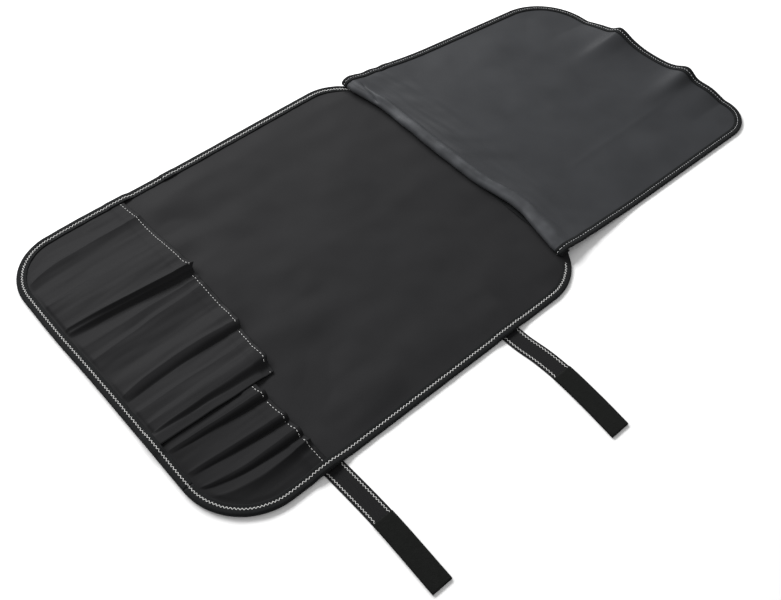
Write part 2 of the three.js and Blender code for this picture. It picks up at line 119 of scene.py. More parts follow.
# The flap's sheet and its rippled far edge
FLAP_THICKNESS = 1.4
FLAP_LENGTH = 356
FLAP_WIDTH = 401
FLAP_OFFSET = 9.5
FLAP_TAPER = 40
FLAP_FLARE = 6
FLAP_EDGE_BEND = 60
FAR_SKEW = 25
FAR_CORNER_LARGE = 78
FAR_CORNER_SMALL = 45
RIPPLE_HEIGHT = 20
RIPPLE_REACH = 95
RIPPLE_CURVE = 1.6

# Where the flap lies on the floor: shares of its width from its middle, and stretches of its length
LYING_ACROSS = (0.25, 0.36)
LYING_FROM = (0.44 * FLAP_LENGTH, 0.58 * FLAP_LENGTH)
LYING_TO = (0.68 * FLAP_LENGTH, 0.78 * FLAP_LENGTH)

# The flap's fold: the seam under it, its turn, the roll along its crest and the slope down to the floor
SEAM_TUCK = 9
FOLD_SETBACK = 15
FOLD_HEIGHT = 13.5
FOLD_DEPTH = 5
FOLD_CREST_LENGTH = 34
FOLD_SLOPE_LENGTH = 98
FOLD_SHOULDER = 1
FOLD_DROOP = 1.6
ROLL_CREST = 5
ROLL_BACK = 14
ROLL_DROP = 4.8
ROLL_ROWS_END = 32

# Stretches across the flap where the roll grows wider towards the straps and where it fades at each end
ROLL_WIDENS = (-175, -60)
ROLL_WIDENING = 0.6
ROLL_LOW_END = (-190, -160)
ROLL_LOW_LOSS = 0.4
ROLL_HIGH_END = (160, 198)
ROLL_HIGH_LOSS = 0.65

# Stretches along the flap where the fold's dents and the bumps of its front begin and end
DENTS_FROM = (-10, 0)
DENTS_TO = (45, 85)
BUMPS_FROM = (-14, -7)
BUMPS_TO = (2, 14)

# A small pinch at the fold's high end: the line it follows along the flap, over a stretch across it, and
# where it begins and ends
PINCH_LINE = (-3, 10)
PINCH_ACROSS = (150, 186)
PINCH_FROM = (143, 156)
PINCH_TO = (180, 191)
PINCH_DEPTH = 3.2
PINCH_SPREAD = 1.6
PINCH_SHIFT = 0.5

# A long, slight crease along the flap
FLAP_CREASE_PLACE = -96
FLAP_CREASE_FROM = (95, 130)
FLAP_CREASE_TO = (290, 340)
FLAP_CREASE_HEIGHT = 0.5
FLAP_CREASE_REACH = 5

# The straps and their hook and loop patches
STRAP_PLACES = (129.6, 386.6)
STRAP_WIDTH = 25.4
STRAP_LENGTH = 184
STRAP_THICKNESS = 1.2
STRAP_TUCK = 22
STRAP_ROUND = 0.35
PATCH_LENGTH = 90
PATCH_THICKNESS = 1.3
PATCH_ROUND = 0.5
PATCH_END_ROUND = 1.5
PATCH_ROUGHNESS = 0.18
PATCH_BUMPS = 1.7

# How far the tops dip below their level: the walls are thinner by as much, and clear what they lie on
PANEL_DIP = 0.45
STRAP_DIP = 0.4
PATCH_DIP = 0.5
TAPE_WALL = TAPE_THICKNESS * 0.8

# The stitches: their place on a folded tape as a share of its width, how far a zigzag goes to each side,
# their spacings on the straps and the flap, how deep they dip into the flap's tape, and the radius of the
# finer threads as a share of the thread's thickness
STITCH_SHARE = 0.58
BINDING_SPREAD = 1.1
STRAP_SPREAD = 1.0
STRAP_ZIGZAG = 3.9
STRAP_STITCH_INSET = 3.5
STRAP_STITCH_START = 2
STRAP_STITCH_END = 1
FLAP_PITCH = 3.8
FLAP_SHOWN = 0.6
FLAP_STITCH_START = 4
STITCH_DIP = 0.1
HEM_THREAD = 0.48
FLAP_THREAD = 0.46

# Spacings of the finer meshes
TAPE_STEP = 3.0
FLAP_TAPE_STEP = 2.5
POCKET_ROW_STEP = 2.5
POCKET_COLUMN_STEP = 1.1
HEM_ROW_STEP = 0.8
HEM_ROWS_MARGIN = 2
TURN_ROW_STEP = 0.9
ROLL_ROW_STEP = 1.0
STRAP_ROW_STEP = 2.0
PATCH_STEP = 1.0

# Where a painted highlight brightens the flap's cloth along its fold, in rows of its mesh: the middle, past
# the turn, and the reach
PAINTED_HIGHLIGHT_ROW = 1
PAINTED_HIGHLIGHT_ROWS = 9

HALF_WIDTH = ROLL_WIDTH / 2
HALF_STRAP = STRAP_WIDTH / 2
HEM = TAPE_THICKNESS + GAP
LAP_RISE = HEM_THICKNESS + GAP
SEWN_BAND = STRAP_TUCK + 6
SEWN_FADE = SEWN_BAND + EDGE_FADE
CLEAR_OF_BINDING = BINDING_WIDTH + 2
UNDER_STRAP = HALF_STRAP + 2

# The roll's plan frame in the model's frame, found from the low corner of the first strap
STRAP_LOW = (STRAP_PLACES[0] - HALF_STRAP - 0.08 * STRAP_WIDTH, STRAP_TUCK - HALF_WIDTH - STRAP_LENGTH, 0)
PLAN_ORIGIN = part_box("strap_1")[0] - Vector(STRAP_LOW) * MM

# Folds of the pocket panels. foot and mouth are shares of half the roll's width at the bound end and at the
# mouth, lift a share of the pleat height, depth a share of the pocket's depth, over whether it lies on the
# small pocket, crisp whether the cloth is creased there
Fold = namedtuple("Fold", "foot mouth lift depth over crisp")
LARGE_FOLDS = [
    Fold(-0.409, -0.425, 0, 0.915, 1, 0),
    Fold(-0.352, -0.395, 0, 0.92, 1, 0),
    Fold(-0.331, -0.33, 0.86, 0.928, 0, 0),
    Fold(-0.285, -0.27, 0.56, 0.938, 0, 1),
    Fold(-0.197, -0.2, 0.24, 0.95, 0, 1),
    Fold(-0.125, -0.118, 0.02, 0.96, 0, 1),
    Fold(-0.083, -0.075, 0.56, 0.98, 0, 1),
    Fold(-0.035, -0.02, 0.54, 0.985, 0, 0),
    Fold(0.057, 0.06, 0.12, 0.99, 0, 0),
    Fold(0.175, 0.22, 0.24, 0.995, 0, 1),
    Fold(0.272, 0.272, 0.12, 1, 0, 1),
    Fold(0.355, 0.303, 0, 1, 0, 0),
    Fold(0.384, 0.326, 0.42, 1, 0, 1),
    Fold(0.412, 0.351, 1, 1, 0, 1),
    Fold(0.452, 0.404, 0.88, 0.99, 0, 0),
    Fold(0.596, 0.579, 0.42, 1, 0, 1),
    Fold(0.74, 0.74, 0.08, 1, 0, 0),
    Fold(0.808, 0.808, 0.22, 1, 0, 1),
    Fold(0.93, 0.93, 0, 0.985, 0, 0),
    Fold(1, 1, 0, 0.985, 0, 0),
]
SMALL_FOLDS = [
    Fold(-1, -1, 0, 1, 0, 0),
    Fold(-0.965, -0.93, 0.04, 1, 0, 0),
    Fold(-0.925, -0.868, 0.1, 1, 0, 0),
    Fold(-0.835, -0.822, 0.74, 1, 0, 1),
    Fold(-0.757, -0.784, 0, 1, 0, 1),
    Fold(-0.737, -0.737, 0.82, 1, 0, 1),
    Fold(-0.627, -0.68, 0, 1, 0, 1),
    Fold(-0.604, -0.638, 0.84, 1, 0, 1),
    Fold(-0.477, -0.522, 0, 1, 0, 1),
    Fold(-0.456, -0.478, 0.84, 1, 0, 1),
    Fold(-0.432, -0.44, 0.1, 1, 0, 0),
    Fold(-0.409 + POCKET_LAP / HALF_WIDTH, -0.425 + POCKET_LAP / HALF_WIDTH, 0, 1, 0, 0),
]

# A pocket panel: its depth, the heights of its pleats and of their creases, how far from the binding they
# reach full height and how soon they open, whether it lies over the other one, a painted shade that darkens
# its cloth's colour and specular, how far in from its two sides its hem's stitch runs, and where across the
# roll that stitch is inside a pleat
Pocket = namedtuple("Pocket", "name folds depth height crease start opening lapped shade seed sewn hidden")
POCKETS = [
    Pocket(
        name="large",
        folds=LARGE_FOLDS,
        depth=LARGE_POCKET_DEPTH,
        height=LARGE_PLEAT_HEIGHT,
        crease=1.6,
        start=5,
        opening=0.32,
        lapped=True,
        shade=0.92,
        seed=1.7,
        sewn=(0.5, BINDING_WIDTH),
        hidden=[(-94, -83.5), (-27.5, -21.5), (69, 78)],
    ),
    Pocket(
        name="small",
        folds=SMALL_FOLDS,
        depth=SMALL_POCKET_DEPTH,
        height=SMALL_PLEAT_HEIGHT,
        crease=1.1,
        start=6,
        opening=0.75,
        lapped=False,
        shade=0.74,
        seed=5.2,
        sewn=(BINDING_WIDTH, 8),
        hidden=[(-182, -177.5), (-159, -153.5), (-122.5, -117)],
    ),
]

# Slow unevenness of the cloth: its height, its reach and the seed of its noise
Swell = namedtuple("Swell", "height reach seed")
PANEL_SLOW = Swell(1, 90, 3.1)
PANEL_SMALL = Swell(0.5, 28, 2.2)
PANEL_STREAKS = Swell(1, 37, 8.4)
POCKET_WANDER = Swell(1.2, 38, 6)
POCKET_FINE = Swell(0.35, 7, 0)
POCKET_STREAKS = Swell(0.7, 18, 3)
FOLD_DENTS = Swell(1.5, 11, 4.4)
FOLD_WAVES = Swell(1.1, 27, 7.7)
FOLD_BUMPS = Swell(1.3, 21, 3.3)
FLAP_SLOW = Swell(1.3, 80, 6.3)
FLAP_DIAGONAL = Swell(0.5, 45, 2.7)
TAPE_EDGE_WEAR = Swell(0.45, 11, 2.6)
TAPE_TOP_WEAR = Swell(0.3, 14, 5.5)

# The panel's swells, with two heights each: where the cloth lies free and where the pockets pull on it
PANEL_MEAN_HEIGHTS = (0.9, 1.5)
PANEL_SLOW_HEIGHTS = (1.7, 2.8)
PANEL_STREAK_HEIGHTS = (0.5, 3.4)
PANEL_STREAK_STRETCH = 2.2
PANEL_LOWEST = -0.4
PULL_REACH = 170
BOUND_FADE = 30

# The flap's swells: their mean, where along the flap they begin and how far in from its edges
FLAP_MEAN = 0.5
FLAP_SWELLS_FROM = (60, 140)
FLAP_SWELLS_INSET = (12, 45)

# Waves of the outline: side, place and spread as shares of the side, and how far out in millimetres
Wave = namedtuple("Wave", "side place spread out")
OUTLINE_WAVES = [
    Wave("high", 0.2, 0.14, ROLL_WIDTH * 0.005),
    Wave("start", 0.22, 0.12, ROLL_WIDTH * 0.003),
]

# Front of the flap's fold: place across as a share of half the roll's width, push as a share of its height
FOLD_FRONT = [(-0.755, -0.45), (-0.62, 0.1), (-0.43, 0.62), (-0.13, 0), (0.6, 0), (0.82, -0.55)]

# Ripples of the flap's far edge: place between its round corners, and lift as a share of the ripple height
RIPPLES = [
    (0, 0),
    (0.09, 0.34),
    (0.2, 0.46),
    (0.27, 0.92),
    (0.355, 0.52),
    (0.42, 0.36),
    (0.56, 0.36),
    (0.655, 0.58),
    (0.76, 1),
    (0.817, 0.6),
    (0.9, 0.34),
    (1, 0),
]

# Sideways drift of each strap: share of its length, and drift as a share of its width
STRAP_DRIFTS = [
    [(0, 0), (0.5, 0.06), (1, -0.08)],
    [(0, 0), (0.2, 0.02), (0.36, 0.15), (0.52, 0.18), (0.78, 0.06), (1, -0.1)],
]


def clamp01(value):
    return min(1.0, max(0.0, value))


def mix(low, high, share):
    return low + (high - low) * share


def ramp(value, low, high):
    return clamp01((value - low) / (high - low))


def ease(share):
    return share * share * (3 - 2 * share)


def smooth_ramp(value, low, high):
    return ease(ramp(value, low, high))


def bump(value, place, spread):
    """1 at a place, fading on both sides of it over about the spread."""
    return math.exp(-(((value - place) / spread) ** 2))


def window(value, rising, falling):
    """1 between a rising stretch and a falling one, and 0 before and after them."""
    return smooth_ramp(value, *rising) * (1 - smooth_ramp(value, *falling))


def read_smooth(rows, at):
    """Value of a two-column table at a place, on a smooth curve through its rows."""
    last = len(rows) - 1
    if at <= rows[0][0]:
        return rows[0][1]
    if at >= rows[last][0]:
        return rows[last][1]
    index = bisect_right([row[0] for row in rows], at) - 1

    def slope(row):
        before, after = rows[max(0, row - 1)], rows[min(last, row + 1)]
        return (after[1] - before[1]) / (after[0] - before[0])

    (start, low), (end, high) = rows[index], rows[index + 1]
    span = end - start
    share = (at - start) / span
    bend = share * (1 - share) * span
    return mix(low, high, ease(share)) + bend * ((1 - share) * slope(index) - share * slope(index + 1))


def to_model(x, y, z):
    """A point of the roll's plan in millimetres, in the model's frame in metres."""
    return PLAN_ORIGIN + Vector((x, y, z)) * MM


def waved(x, y):
    """The plan waves of the outline, carried by every layer of the roll."""
    wave_x, wave_y = 0.0, 0.0
    for wave in OUTLINE_WAVES:
        at = y / ROLL_WIDTH if wave.side == "start" else x / PANEL_LENGTH
        out = wave.out * bump(at, wave.place, wave.spread)
        if wave.side == "start":
            wave_x -= out * (1 - ramp(x, 0, PANEL_LENGTH / 3))
        else:
            wave_y += out * ramp(y, 0, HALF_WIDTH)
    return x + wave_x, y + wave_y


def swell(kind, x, y, seed=0):
    """A slow, soft unevenness of one kind, up to its height either way."""
    return kind.height * noise.noise(Vector((x / kind.reach, y / kind.reach, kind.seed + seed)))


def strap_rise(x, y):
    """Rise of the panel's underside where a strap is sewn under its low edge."""
    across = 1 - smooth_ramp(y, SEWN_BAND - HALF_WIDTH, SEWN_FADE - HALF_WIDTH)
    rises = []
    for place in STRAP_PLACES:
        start, end = place - UNDER_STRAP, place + UNDER_STRAP
        rises.append(window(x, (start - STEP_LENGTH, start), (end, end + STEP_LENGTH)))
    return (STRAP_THICKNESS + GAP) * across * max(rises)


REST_START = LARGE_POCKET_DEPTH + STEP_LENGTH * 2
REST_END = PANEL_LENGTH - FLAP_END_CORNER - STEP_LENGTH


def rest_sag(x, y):
    """How much lower the panel's middle lies than its bound edges."""
    fade = STEP_LENGTH * 2
    along = window(x, (REST_START, REST_START + fade), (REST_END - fade, REST_END))
    across = 1 - smooth_ramp(abs(y), HALF_WIDTH - REST_MARGIN, HALF_WIDTH - SEWN_FADE)
    return HEM * along * across


def panel_under(x, y):
    """Underside of the back panel: on the tape's lower leg at its edges, and lower in its middle."""
    return HEM + strap_rise(x, y) - rest_sag(x, y)


def panel_top(x, y):
    return panel_under(x, y) + PANEL_THICKNESS


def pocket_cloth(x, depth):
    """Thickness of a pocket panel, doubled at its hem."""
    start = depth - HEM_DEPTH
    return mix(POCKET_THICKNESS, HEM_THICKNESS, smooth_ramp(x, start - STEP_LENGTH / 2, start))


LAP_LOW = LARGE_FOLDS[0].foot * HALF_WIDTH
LAP_HIGH = LARGE_FOLDS[1].foot * HALF_WIDTH
LAP_END = SMALL_POCKET_DEPTH + STEP_LENGTH + CORNER_MARGIN
LAP_SEAT = 2
COVER_END = 1


def bound_top(x, y):
    """What the tape's upper leg is folded over: the panel, and the pocket panels where they are bound in."""
    depth = LARGE_POCKET_DEPTH if y > LAP_LOW else SMALL_POCKET_DEPTH
    cover = 1 - smooth_ramp(x, depth + COVER_END, depth + COVER_END + STEP_LENGTH)
    lapped = 0.0
    if x < POCKET_CORNER_LOW:
        rising = (LAP_LOW - STEP_LENGTH, LAP_LOW - LAP_SEAT)
        falling = (LAP_HIGH + LAP_SEAT, LAP_HIGH + STEP_LENGTH)
        lapped = LAP_RISE * window(y, rising, falling)
    doubled = 0.0
    if y > HALF_WIDTH - POCKET_CORNER_LOW:
        lap_end = TAPE_LAP_PLACE + TAPE_LAP_LENGTH
        start = ramp(x, TAPE_LAP_PLACE - TAPE_LAP_START, TAPE_LAP_PLACE)
        end = ramp(x, lap_end, lap_end + TAPE_LAP_END)
        doubled = TAPE_THICKNESS * min(start, 1 - end)
    cloth = pocket_cloth(x + STEP_LENGTH / 3, depth)
    return panel_top(x, y) + cover * (GAP + cloth) + lapped + doubled


def inset_at(x, y):
    """Distance in from the panel's outline near the pocket end."""
    corner = POCKET_CORNER_LOW if y < 0 else POCKET_CORNER_HIGH
    beyond_x = corner - x
    beyond_y = abs(y) - (HALF_WIDTH - corner)
    if beyond_x > 0 and beyond_y > 0:
        return corner - math.hypot(beyond_x, beyond_y)
    return min(x, HALF_WIDTH - abs(y))


class Outline:
    """A sheet's outline with round corners, as points, outward normals and lengths along it."""

    def __init__(self, corners, radii, closed):
        self.closed = closed
        points = []
        count = len(corners)
        for index, (corner, radius) in enumerate(zip(corners, radii)):
            here = Vector(corner)
            if radius == 0:
                points.append(here)
                continue
            before = (Vector(corners[index - 1]) - here).normalized()
            after = (Vector(corners[(index + 1) % count]) - here).normalized()
            half = before.angle(after) / 2
            centre = here + (before + after).normalized() * (radius / math.sin(half))
            start = here + before * (radius / math.tan(half)) - centre
            turn = math.pi - 2 * half
            steps = max(2, round(radius * turn / ARC_STEP))
            for number in range(steps + 1):
                points.append(centre + Matrix.Rotation(turn * number / steps, 2) @ start)
        if closed:
            points.append(points[0])
        self.points = points
        self.lengths = [0.0]
        for first, second in zip(points, points[1:]):
            self.lengths.append(self.lengths[-1] + (second - first).length)
        self.length = self.lengths[-1]
        self.normals = []
        for index in range(len(points)):
            at_start, at_end = index == 0, index == len(points) - 1
            before = points[-2 if closed else 0] if at_start else points[index - 1]
            after = points[1 if closed else -1] if at_end else points[index + 1]
            travel = (after - before).normalized()
            self.normals.append(Vector((travel.y, -travel.x)))

    def at(self, place, inset=0.0):
        """Point at a length along the outline, moved inwards by inset."""
        place = place % self.length if self.closed else min(self.length, max(0.0, place))
        index = min(len(self.points) - 2, bisect_right(self.lengths, place) - 1)
        span = self.lengths[index + 1] - self.lengths[index]
        share = (place - self.lengths[index]) / span if span else 0.0
        point = self.points[index].lerp(self.points[index + 1], share)
        normal = self.normals[index].lerp(self.normals[index + 1], share).normalized()
        return point - normal * inset

    def stations(self, step):
        """Lengths along the outline at about one spacing, with every corner's start and end among them."""
        places = [0.0]
        for length in self.lengths[1:]:
            while length - places[-1] > step * 1.5:
                places.append(places[-1] + step)
            if length - places[-1] > step * 0.5:
                places.append(length)
        places[-1] = self.length
        return places


PANEL_OUTLINE = Outline(
    [(0, -HALF_WIDTH), (PANEL_LENGTH, -HALF_WIDTH), (PANEL_LENGTH, HALF_WIDTH), (0, HALF_WIDTH)],
    [POCKET_CORNER_LOW, FLAP_END_CORNER, FLAP_END_CORNER, POCKET_CORNER_HIGH],
    closed=True,
)

FLAP_REST = HEM + FLAP_THICKNESS / 2
TUCK_HEIGHT = HEM + PANEL_THICKNESS + HEM + GAP + FLAP_REST
TURN_HALF = (FOLD_HEIGHT - TUCK_HEIGHT) / 2
TURN_LENGTH = math.pi * (FOLD_DEPTH + TURN_HALF) / 2
FOLD_EDGE = PANEL_LENGTH - FOLD_SETBACK
FLAP_START = -TURN_LENGTH - SEAM_TUCK


def flap_edge(side, along):
    """Place across of the flap's edge on one side, at a distance beyond its fold."""
    share = ramp(along, 0, FLAP_LENGTH)
    if side == "high":
        return FLAP_OFFSET + FLAP_WIDTH / 2 - FLAP_TAPER * share
    return FLAP_OFFSET - FLAP_WIDTH / 2 - FLAP_FLARE * share


FLAP_OUTLINE = Outline(
    [
        (FLAP_START, flap_edge("low", 0)),
        (0, flap_edge("low", 0)),
        (FLAP_LENGTH, flap_edge("low", FLAP_LENGTH)),
        (FLAP_LENGTH, flap_edge("high", FLAP_LENGTH)),
        (0, flap_edge("high", 0)),
        (FLAP_START, flap_edge("high", 0)),
    ],
    [0, FLAP_EDGE_BEND, FAR_CORNER_SMALL, FAR_CORNER_LARGE, FLAP_EDGE_BEND, 0],
    closed=False,
)
FAR_WIDTH = FLAP_WIDTH - FLAP_TAPER + FLAP_FLARE
STRAIGHT_SHARES = (
    (FAR_CORNER_SMALL + CORNER_MARGIN + HEM) / FAR_WIDTH,
    1 - (FAR_CORNER_LARGE + CORNER_MARGIN + HEM) / FAR_WIDTH,
)


def fold_run(along, across):
    """Run of the flap's sheet along the roll: under the fold, round it, over its crest and down."""
    if along < -TURN_LENGTH:
        return FOLD_DEPTH - along - TURN_LENGTH, TUCK_HEIGHT
    shoulder = FOLD_HEIGHT - FOLD_SHOULDER
    if along < 0:
        angle = math.pi * -along / TURN_LENGTH
        half = (shoulder - TUCK_HEIGHT) / 2
        droop = FOLD_DROOP * math.sin(angle) ** 2 * angle / math.pi
        return FOLD_DEPTH * (1 - math.sin(angle)), shoulder - half * (1 - math.cos(angle)) - droop
    wide = 1 + ROLL_WIDENING * (1 - smooth_ramp(across, *ROLL_WIDENS))
    ends = 1 - ROLL_HIGH_LOSS * smooth_ramp(across, *ROLL_HIGH_END)
    ends -= ROLL_LOW_LOSS * (1 - smooth_ramp(across, *ROLL_LOW_END))
    crest = mix(FOLD_HEIGHT, shoulder, (1 - ramp(along, 0, ROLL_CREST * wide)) ** 2)
    crest -= ROLL_DROP * ends * smooth_ramp(along, ROLL_CREST * wide, ROLL_BACK * wide)
    share = ramp(along, ROLL_CREST, FOLD_CREST_LENGTH + FOLD_SLOPE_LENGTH)
    slope = (ease(share) + 1 - (1 - share) ** 2) / 2
    return FOLD_DEPTH + along, mix(crest, FLAP_REST, slope)


def fold_dents(along, across):
    """How far the fold's dents and pinch and the flap's crease shift its cloth along, and raise it."""
    dents = swell(FOLD_DENTS, across / 5 + along * 0.5, along)
    dents += swell(FOLD_WAVES, across + along * 0.9, along * 0.4)
    dents *= window(along, DENTS_FROM, DENTS_TO)
    line = mix(*PINCH_LINE, ramp(across, *PINCH_ACROSS))
    pinch = PINCH_DEPTH * window(across, PINCH_FROM, PINCH_TO) * bump(along, line, PINCH_SPREAD)
    crease = FLAP_CREASE_HEIGHT * window(along, FLAP_CREASE_FROM, FLAP_CREASE_TO)
    crease *= math.exp(-abs(across - FLAP_CREASE_PLACE) / FLAP_CREASE_REACH)
    bumps = swell(FOLD_BUMPS, across, 0) * window(along, BUMPS_FROM, BUMPS_TO)
    return pinch * PINCH_SHIFT + bumps, dents + crease - pinch


def flap_middle(along, across):
    """Middle surface of the flap's sheet."""
    x, z = fold_run(along, across)
    push = FOLD_HEIGHT * read_smooth(FOLD_FRONT, across / HALF_WIDTH)
    pushed = push * (1 - smooth_ramp(along, 0, FOLD_CREST_LENGTH * 2))
    skew = FAR_SKEW * ramp(along, 0, FLAP_LENGTH) * (across - FLAP_OFFSET) / FLAP_WIDTH
    low, high = flap_edge("low", along), flap_edge("high", along)
    share = (across - low) / (high - low)
    reach = ramp(along, FLAP_LENGTH - RIPPLE_REACH, FLAP_LENGTH) ** RIPPLE_CURVE
    ripple = RIPPLE_HEIGHT * reach * max(0.0, read_smooth(RIPPLES, ramp(share, *STRAIGHT_SHARES)))
    inside = 1 - smooth_ramp(abs(share - 0.5), *LYING_ACROSS)
    lies = window(along, LYING_FROM, LYING_TO)
    sag = HEM * inside * max(lies, ramp(-along, 0, TURN_LENGTH))
    shift, rise = fold_dents(along, across)
    return Vector((FOLD_EDGE + x + pushed - skew + shift, across, z + ripple - sag + rise))


def flap_point(along, across, offset):
    """A point of the flap and its normal, offset from the middle surface along that normal."""
    step = 0.05
    along_step = flap_middle(along + step, across) - flap_middle(along - step, across)
    across_step = flap_middle(along, across + step) - flap_middle(along, across - step)
    normal = along_step.cross(across_step).normalized()
    return flap_middle(along, across) + normal * offset, normal


def strap_place(index, along, across, z):
    """A point of a strap, at a distance along it from its sewn end."""
    drift = STRAP_WIDTH * read_smooth(STRAP_DRIFTS[index], along / STRAP_LENGTH)
    return to_model(STRAP_PLACES[index] + drift + across, STRAP_TUCK - HALF_WIDTH - along, z)


def even_places(start, end, step):
    """Places from start to end, about one step apart."""
    count = max(1, round((end - start) / step))
    return [mix(start, end, number / count) for number in range(count + 1)]


def corner_places(start, end, start_radius, end_radius, step):
    """Places along a sheet with round corners, closer together where a corner narrows it."""
    places = []
    if start_radius:
        count = round(start_radius * math.pi / 2 / step)
        turns = [math.pi / 2 * number / count for number in range(count)]
        places += [start + start_radius * (1 - math.cos(turn)) for turn in turns]
    places += even_places(start + start_radius, end - end_radius, step)
    if end_radius:
        count = round(end_radius * math.pi / 2 / step)
        turns = [math.pi / 2 * number / count for number in range(1, count + 1)]
        places += [end - end_radius * (1 - math.sin(turn)) for turn in turns]
    return places


def squeezed(y, x, low_corner, high_corner, cut):
    """Across place of the panel's cloth, drawn in where a round corner narrows it."""
    corner = high_corner if y > 0 else low_corner
    beyond = corner - x
    limit = cut - corner - CORNER_MARGIN
    if beyond <= 0 or abs(y) <= limit:
        return y
    sine = min(1.0, beyond / (corner - HEM))
    narrowed = (corner - HEM) * (1 - math.sqrt(1 - sine * sine))
    share = (abs(y) - limit) / (cut - limit)
    return math.copysign(limit + share * (cut - narrowed - limit), y)


def panel_swell(x, y):
    """How far the panel's open cloth rises above its level, most where the pockets pull on it."""
    opened = smooth_ramp(x, SMALL_POCKET_DEPTH + 10, LARGE_POCKET_DEPTH + 20)
    unbound = smooth_ramp(HALF_WIDTH - abs(y), BINDING_WIDTH, BINDING_WIDTH + BOUND_FADE)
    pulled = 1 - smooth_ramp(x, LARGE_POCKET_DEPTH, LARGE_POCKET_DEPTH + PULL_REACH)
    uneven = mix(*PANEL_MEAN_HEIGHTS, pulled)
    uneven += mix(*PANEL_SLOW_HEIGHTS, pulled) * swell(PANEL_SLOW, x, y) + swell(PANEL_SMALL, x, y)
    uneven += mix(*PANEL_STREAK_HEIGHTS, pulled) * swell(PANEL_STREAKS, x / PANEL_STREAK_STRETCH, y)
    return max(PANEL_LOWEST, uneven) * opened * unbound


def panel_across(x, y):
    """Across place of the back panel's cloth at both round ends."""
    cut = HALF_WIDTH - HEM
    if x < PANEL_LENGTH / 2:
        return squeezed(y, x, POCKET_CORNER_LOW, POCKET_CORNER_HIGH, cut)
    return squeezed(y, PANEL_LENGTH - x, FLAP_END_CORNER, FLAP_END_CORNER, cut)


def linear(*levels):
    """A colour given in display levels from 0 to 255, as linear light."""
    shares = [level / 255 for level in levels]
    return tuple(s / 12.92 if s <= 0.04045 else ((s + 0.055) / 1.055) ** 2.4 for s in shares)


class Number:
    """A socket that adds Math nodes when it is used in an expression."""

    def __init__(self, finish, socket):
        self.finish = finish
        self.socket = socket

    def _math(self, operation, first, second=None):
        values = {0: first} if second is None else {0: first, 1: second}
        return self.finish.number("ShaderNodeMath", {"operation": operation}, values)

    def __add__(self, other):
        return self._math("ADD", self, other)

    def __sub__(self, other):
        return self._math("SUBTRACT", self, other)

    def __rsub__(self, other):
        return self._math("SUBTRACT", other, self)

    def __mul__(self, other):
        return self._math("MULTIPLY", self, other)

    def __truediv__(self, other):
        return self._math("DIVIDE", self, other)

    __radd__ = __add__

    def sine(self):
        return self._math("SINE", self)


class Finish:
    """A node material and the one way its nodes are added."""

    def __init__(self, name):
        self.material = bpy.data.materials.new(name)
        self.material.use_nodes = True
        self.tree = self.material.node_tree
        self.tree.nodes.clear()

    def node(self, kind, settings=None, values=None):
        node = self.tree.nodes.new(kind)
        for name, value in (settings or {}).items():
            setattr(node, name, value)
        for key, value in (values or {}).items():
            socket = node.inputs[key] if isinstance(key, int) else self.found(node.inputs, key)
            if isinstance(value, Number):
                value = value.socket
            if isinstance(value, bpy.types.NodeSocket):
                self.tree.links.new(value, socket)
            else:
                socket.default_value = value
        return node

    @staticmethod
    def found(sockets, key):
        return next(s for s in sockets if key in (s.identifier, s.name) and s.enabled)

    def number(self, kind, settings=None, values=None, output=0):
        node = self.node(kind, settings, values)
        socket = node.outputs[output] if isinstance(output, int) else self.found(node.outputs, output)
        return Number(self, socket)

    def object_place(self):
        return self.node("ShaderNodeTexCoord").outputs["Object"]

    def cloth_place(self):
        """The piece's own UV map, in metres along and across the cloth, as two numbers."""
        place = self.node("ShaderNodeUVMap", {"uv_map": "UVMap"}).outputs["UV"]
        split = self.node("ShaderNodeSeparateXYZ", None, {"Vector": place})
        return place, Number(self, split.outputs["X"]), Number(self, split.outputs["Y"])

    def noise(self, place, size, detail=2.0, roughness=0.5):
        values = {"Vector": place, "Scale": 1 / size, "Detail": detail, "Roughness": roughness}
        return self.number("ShaderNodeTexNoise", None, values)

    def cells(self, place, size, feature="F1"):
        values = {"Vector": place, "Scale": 1 / size}
        return self.number("ShaderNodeTexVoronoi", {"feature": feature}, values, "Distance")

    def tint(self, share, low, high):
        values = {"Factor_Float": share, "A_Color": (*low, 1), "B_Color": (*high, 1)}
        node = self.node("ShaderNodeMix", {"data_type": "RGBA"}, values)
        return self.found(node.outputs, "Result_Color")

    def surface(self, colour, roughness, height, relief, specular, sheen=0.0, sheen_roughness=0.5):
        values = {"Height": height, "Strength": 1.0, "Distance": relief}
        bump = self.node("ShaderNodeBump", None, values).outputs["Normal"]
        shader = self.node(
            "ShaderNodeBsdfPrincipled",
            None,
            {
                "Base Color": colour,
                "Roughness": roughness,
                "Specular IOR Level": specular,
                "Sheen Weight": sheen,
                "Sheen Roughness": sheen_roughness,
                "Normal": bump,
            },
        )
        self.node("ShaderNodeOutputMaterial", None, {"Surface": shader.outputs[0]})
        return self.material


# Details of the pile and of the thread's twist, in metres
PILE_LOOP = 0.0011
PILE_FUZZ = 0.0006
PILE_ROW = 0.005
PILE_RELIEF = 0.0004
TWIST_ALONG = 0.0011
TWIST_AROUND = 0.0028
TWIST_RELIEF = 0.00012


def scaled(colour, share):
    return tuple(level * share for level in colour)


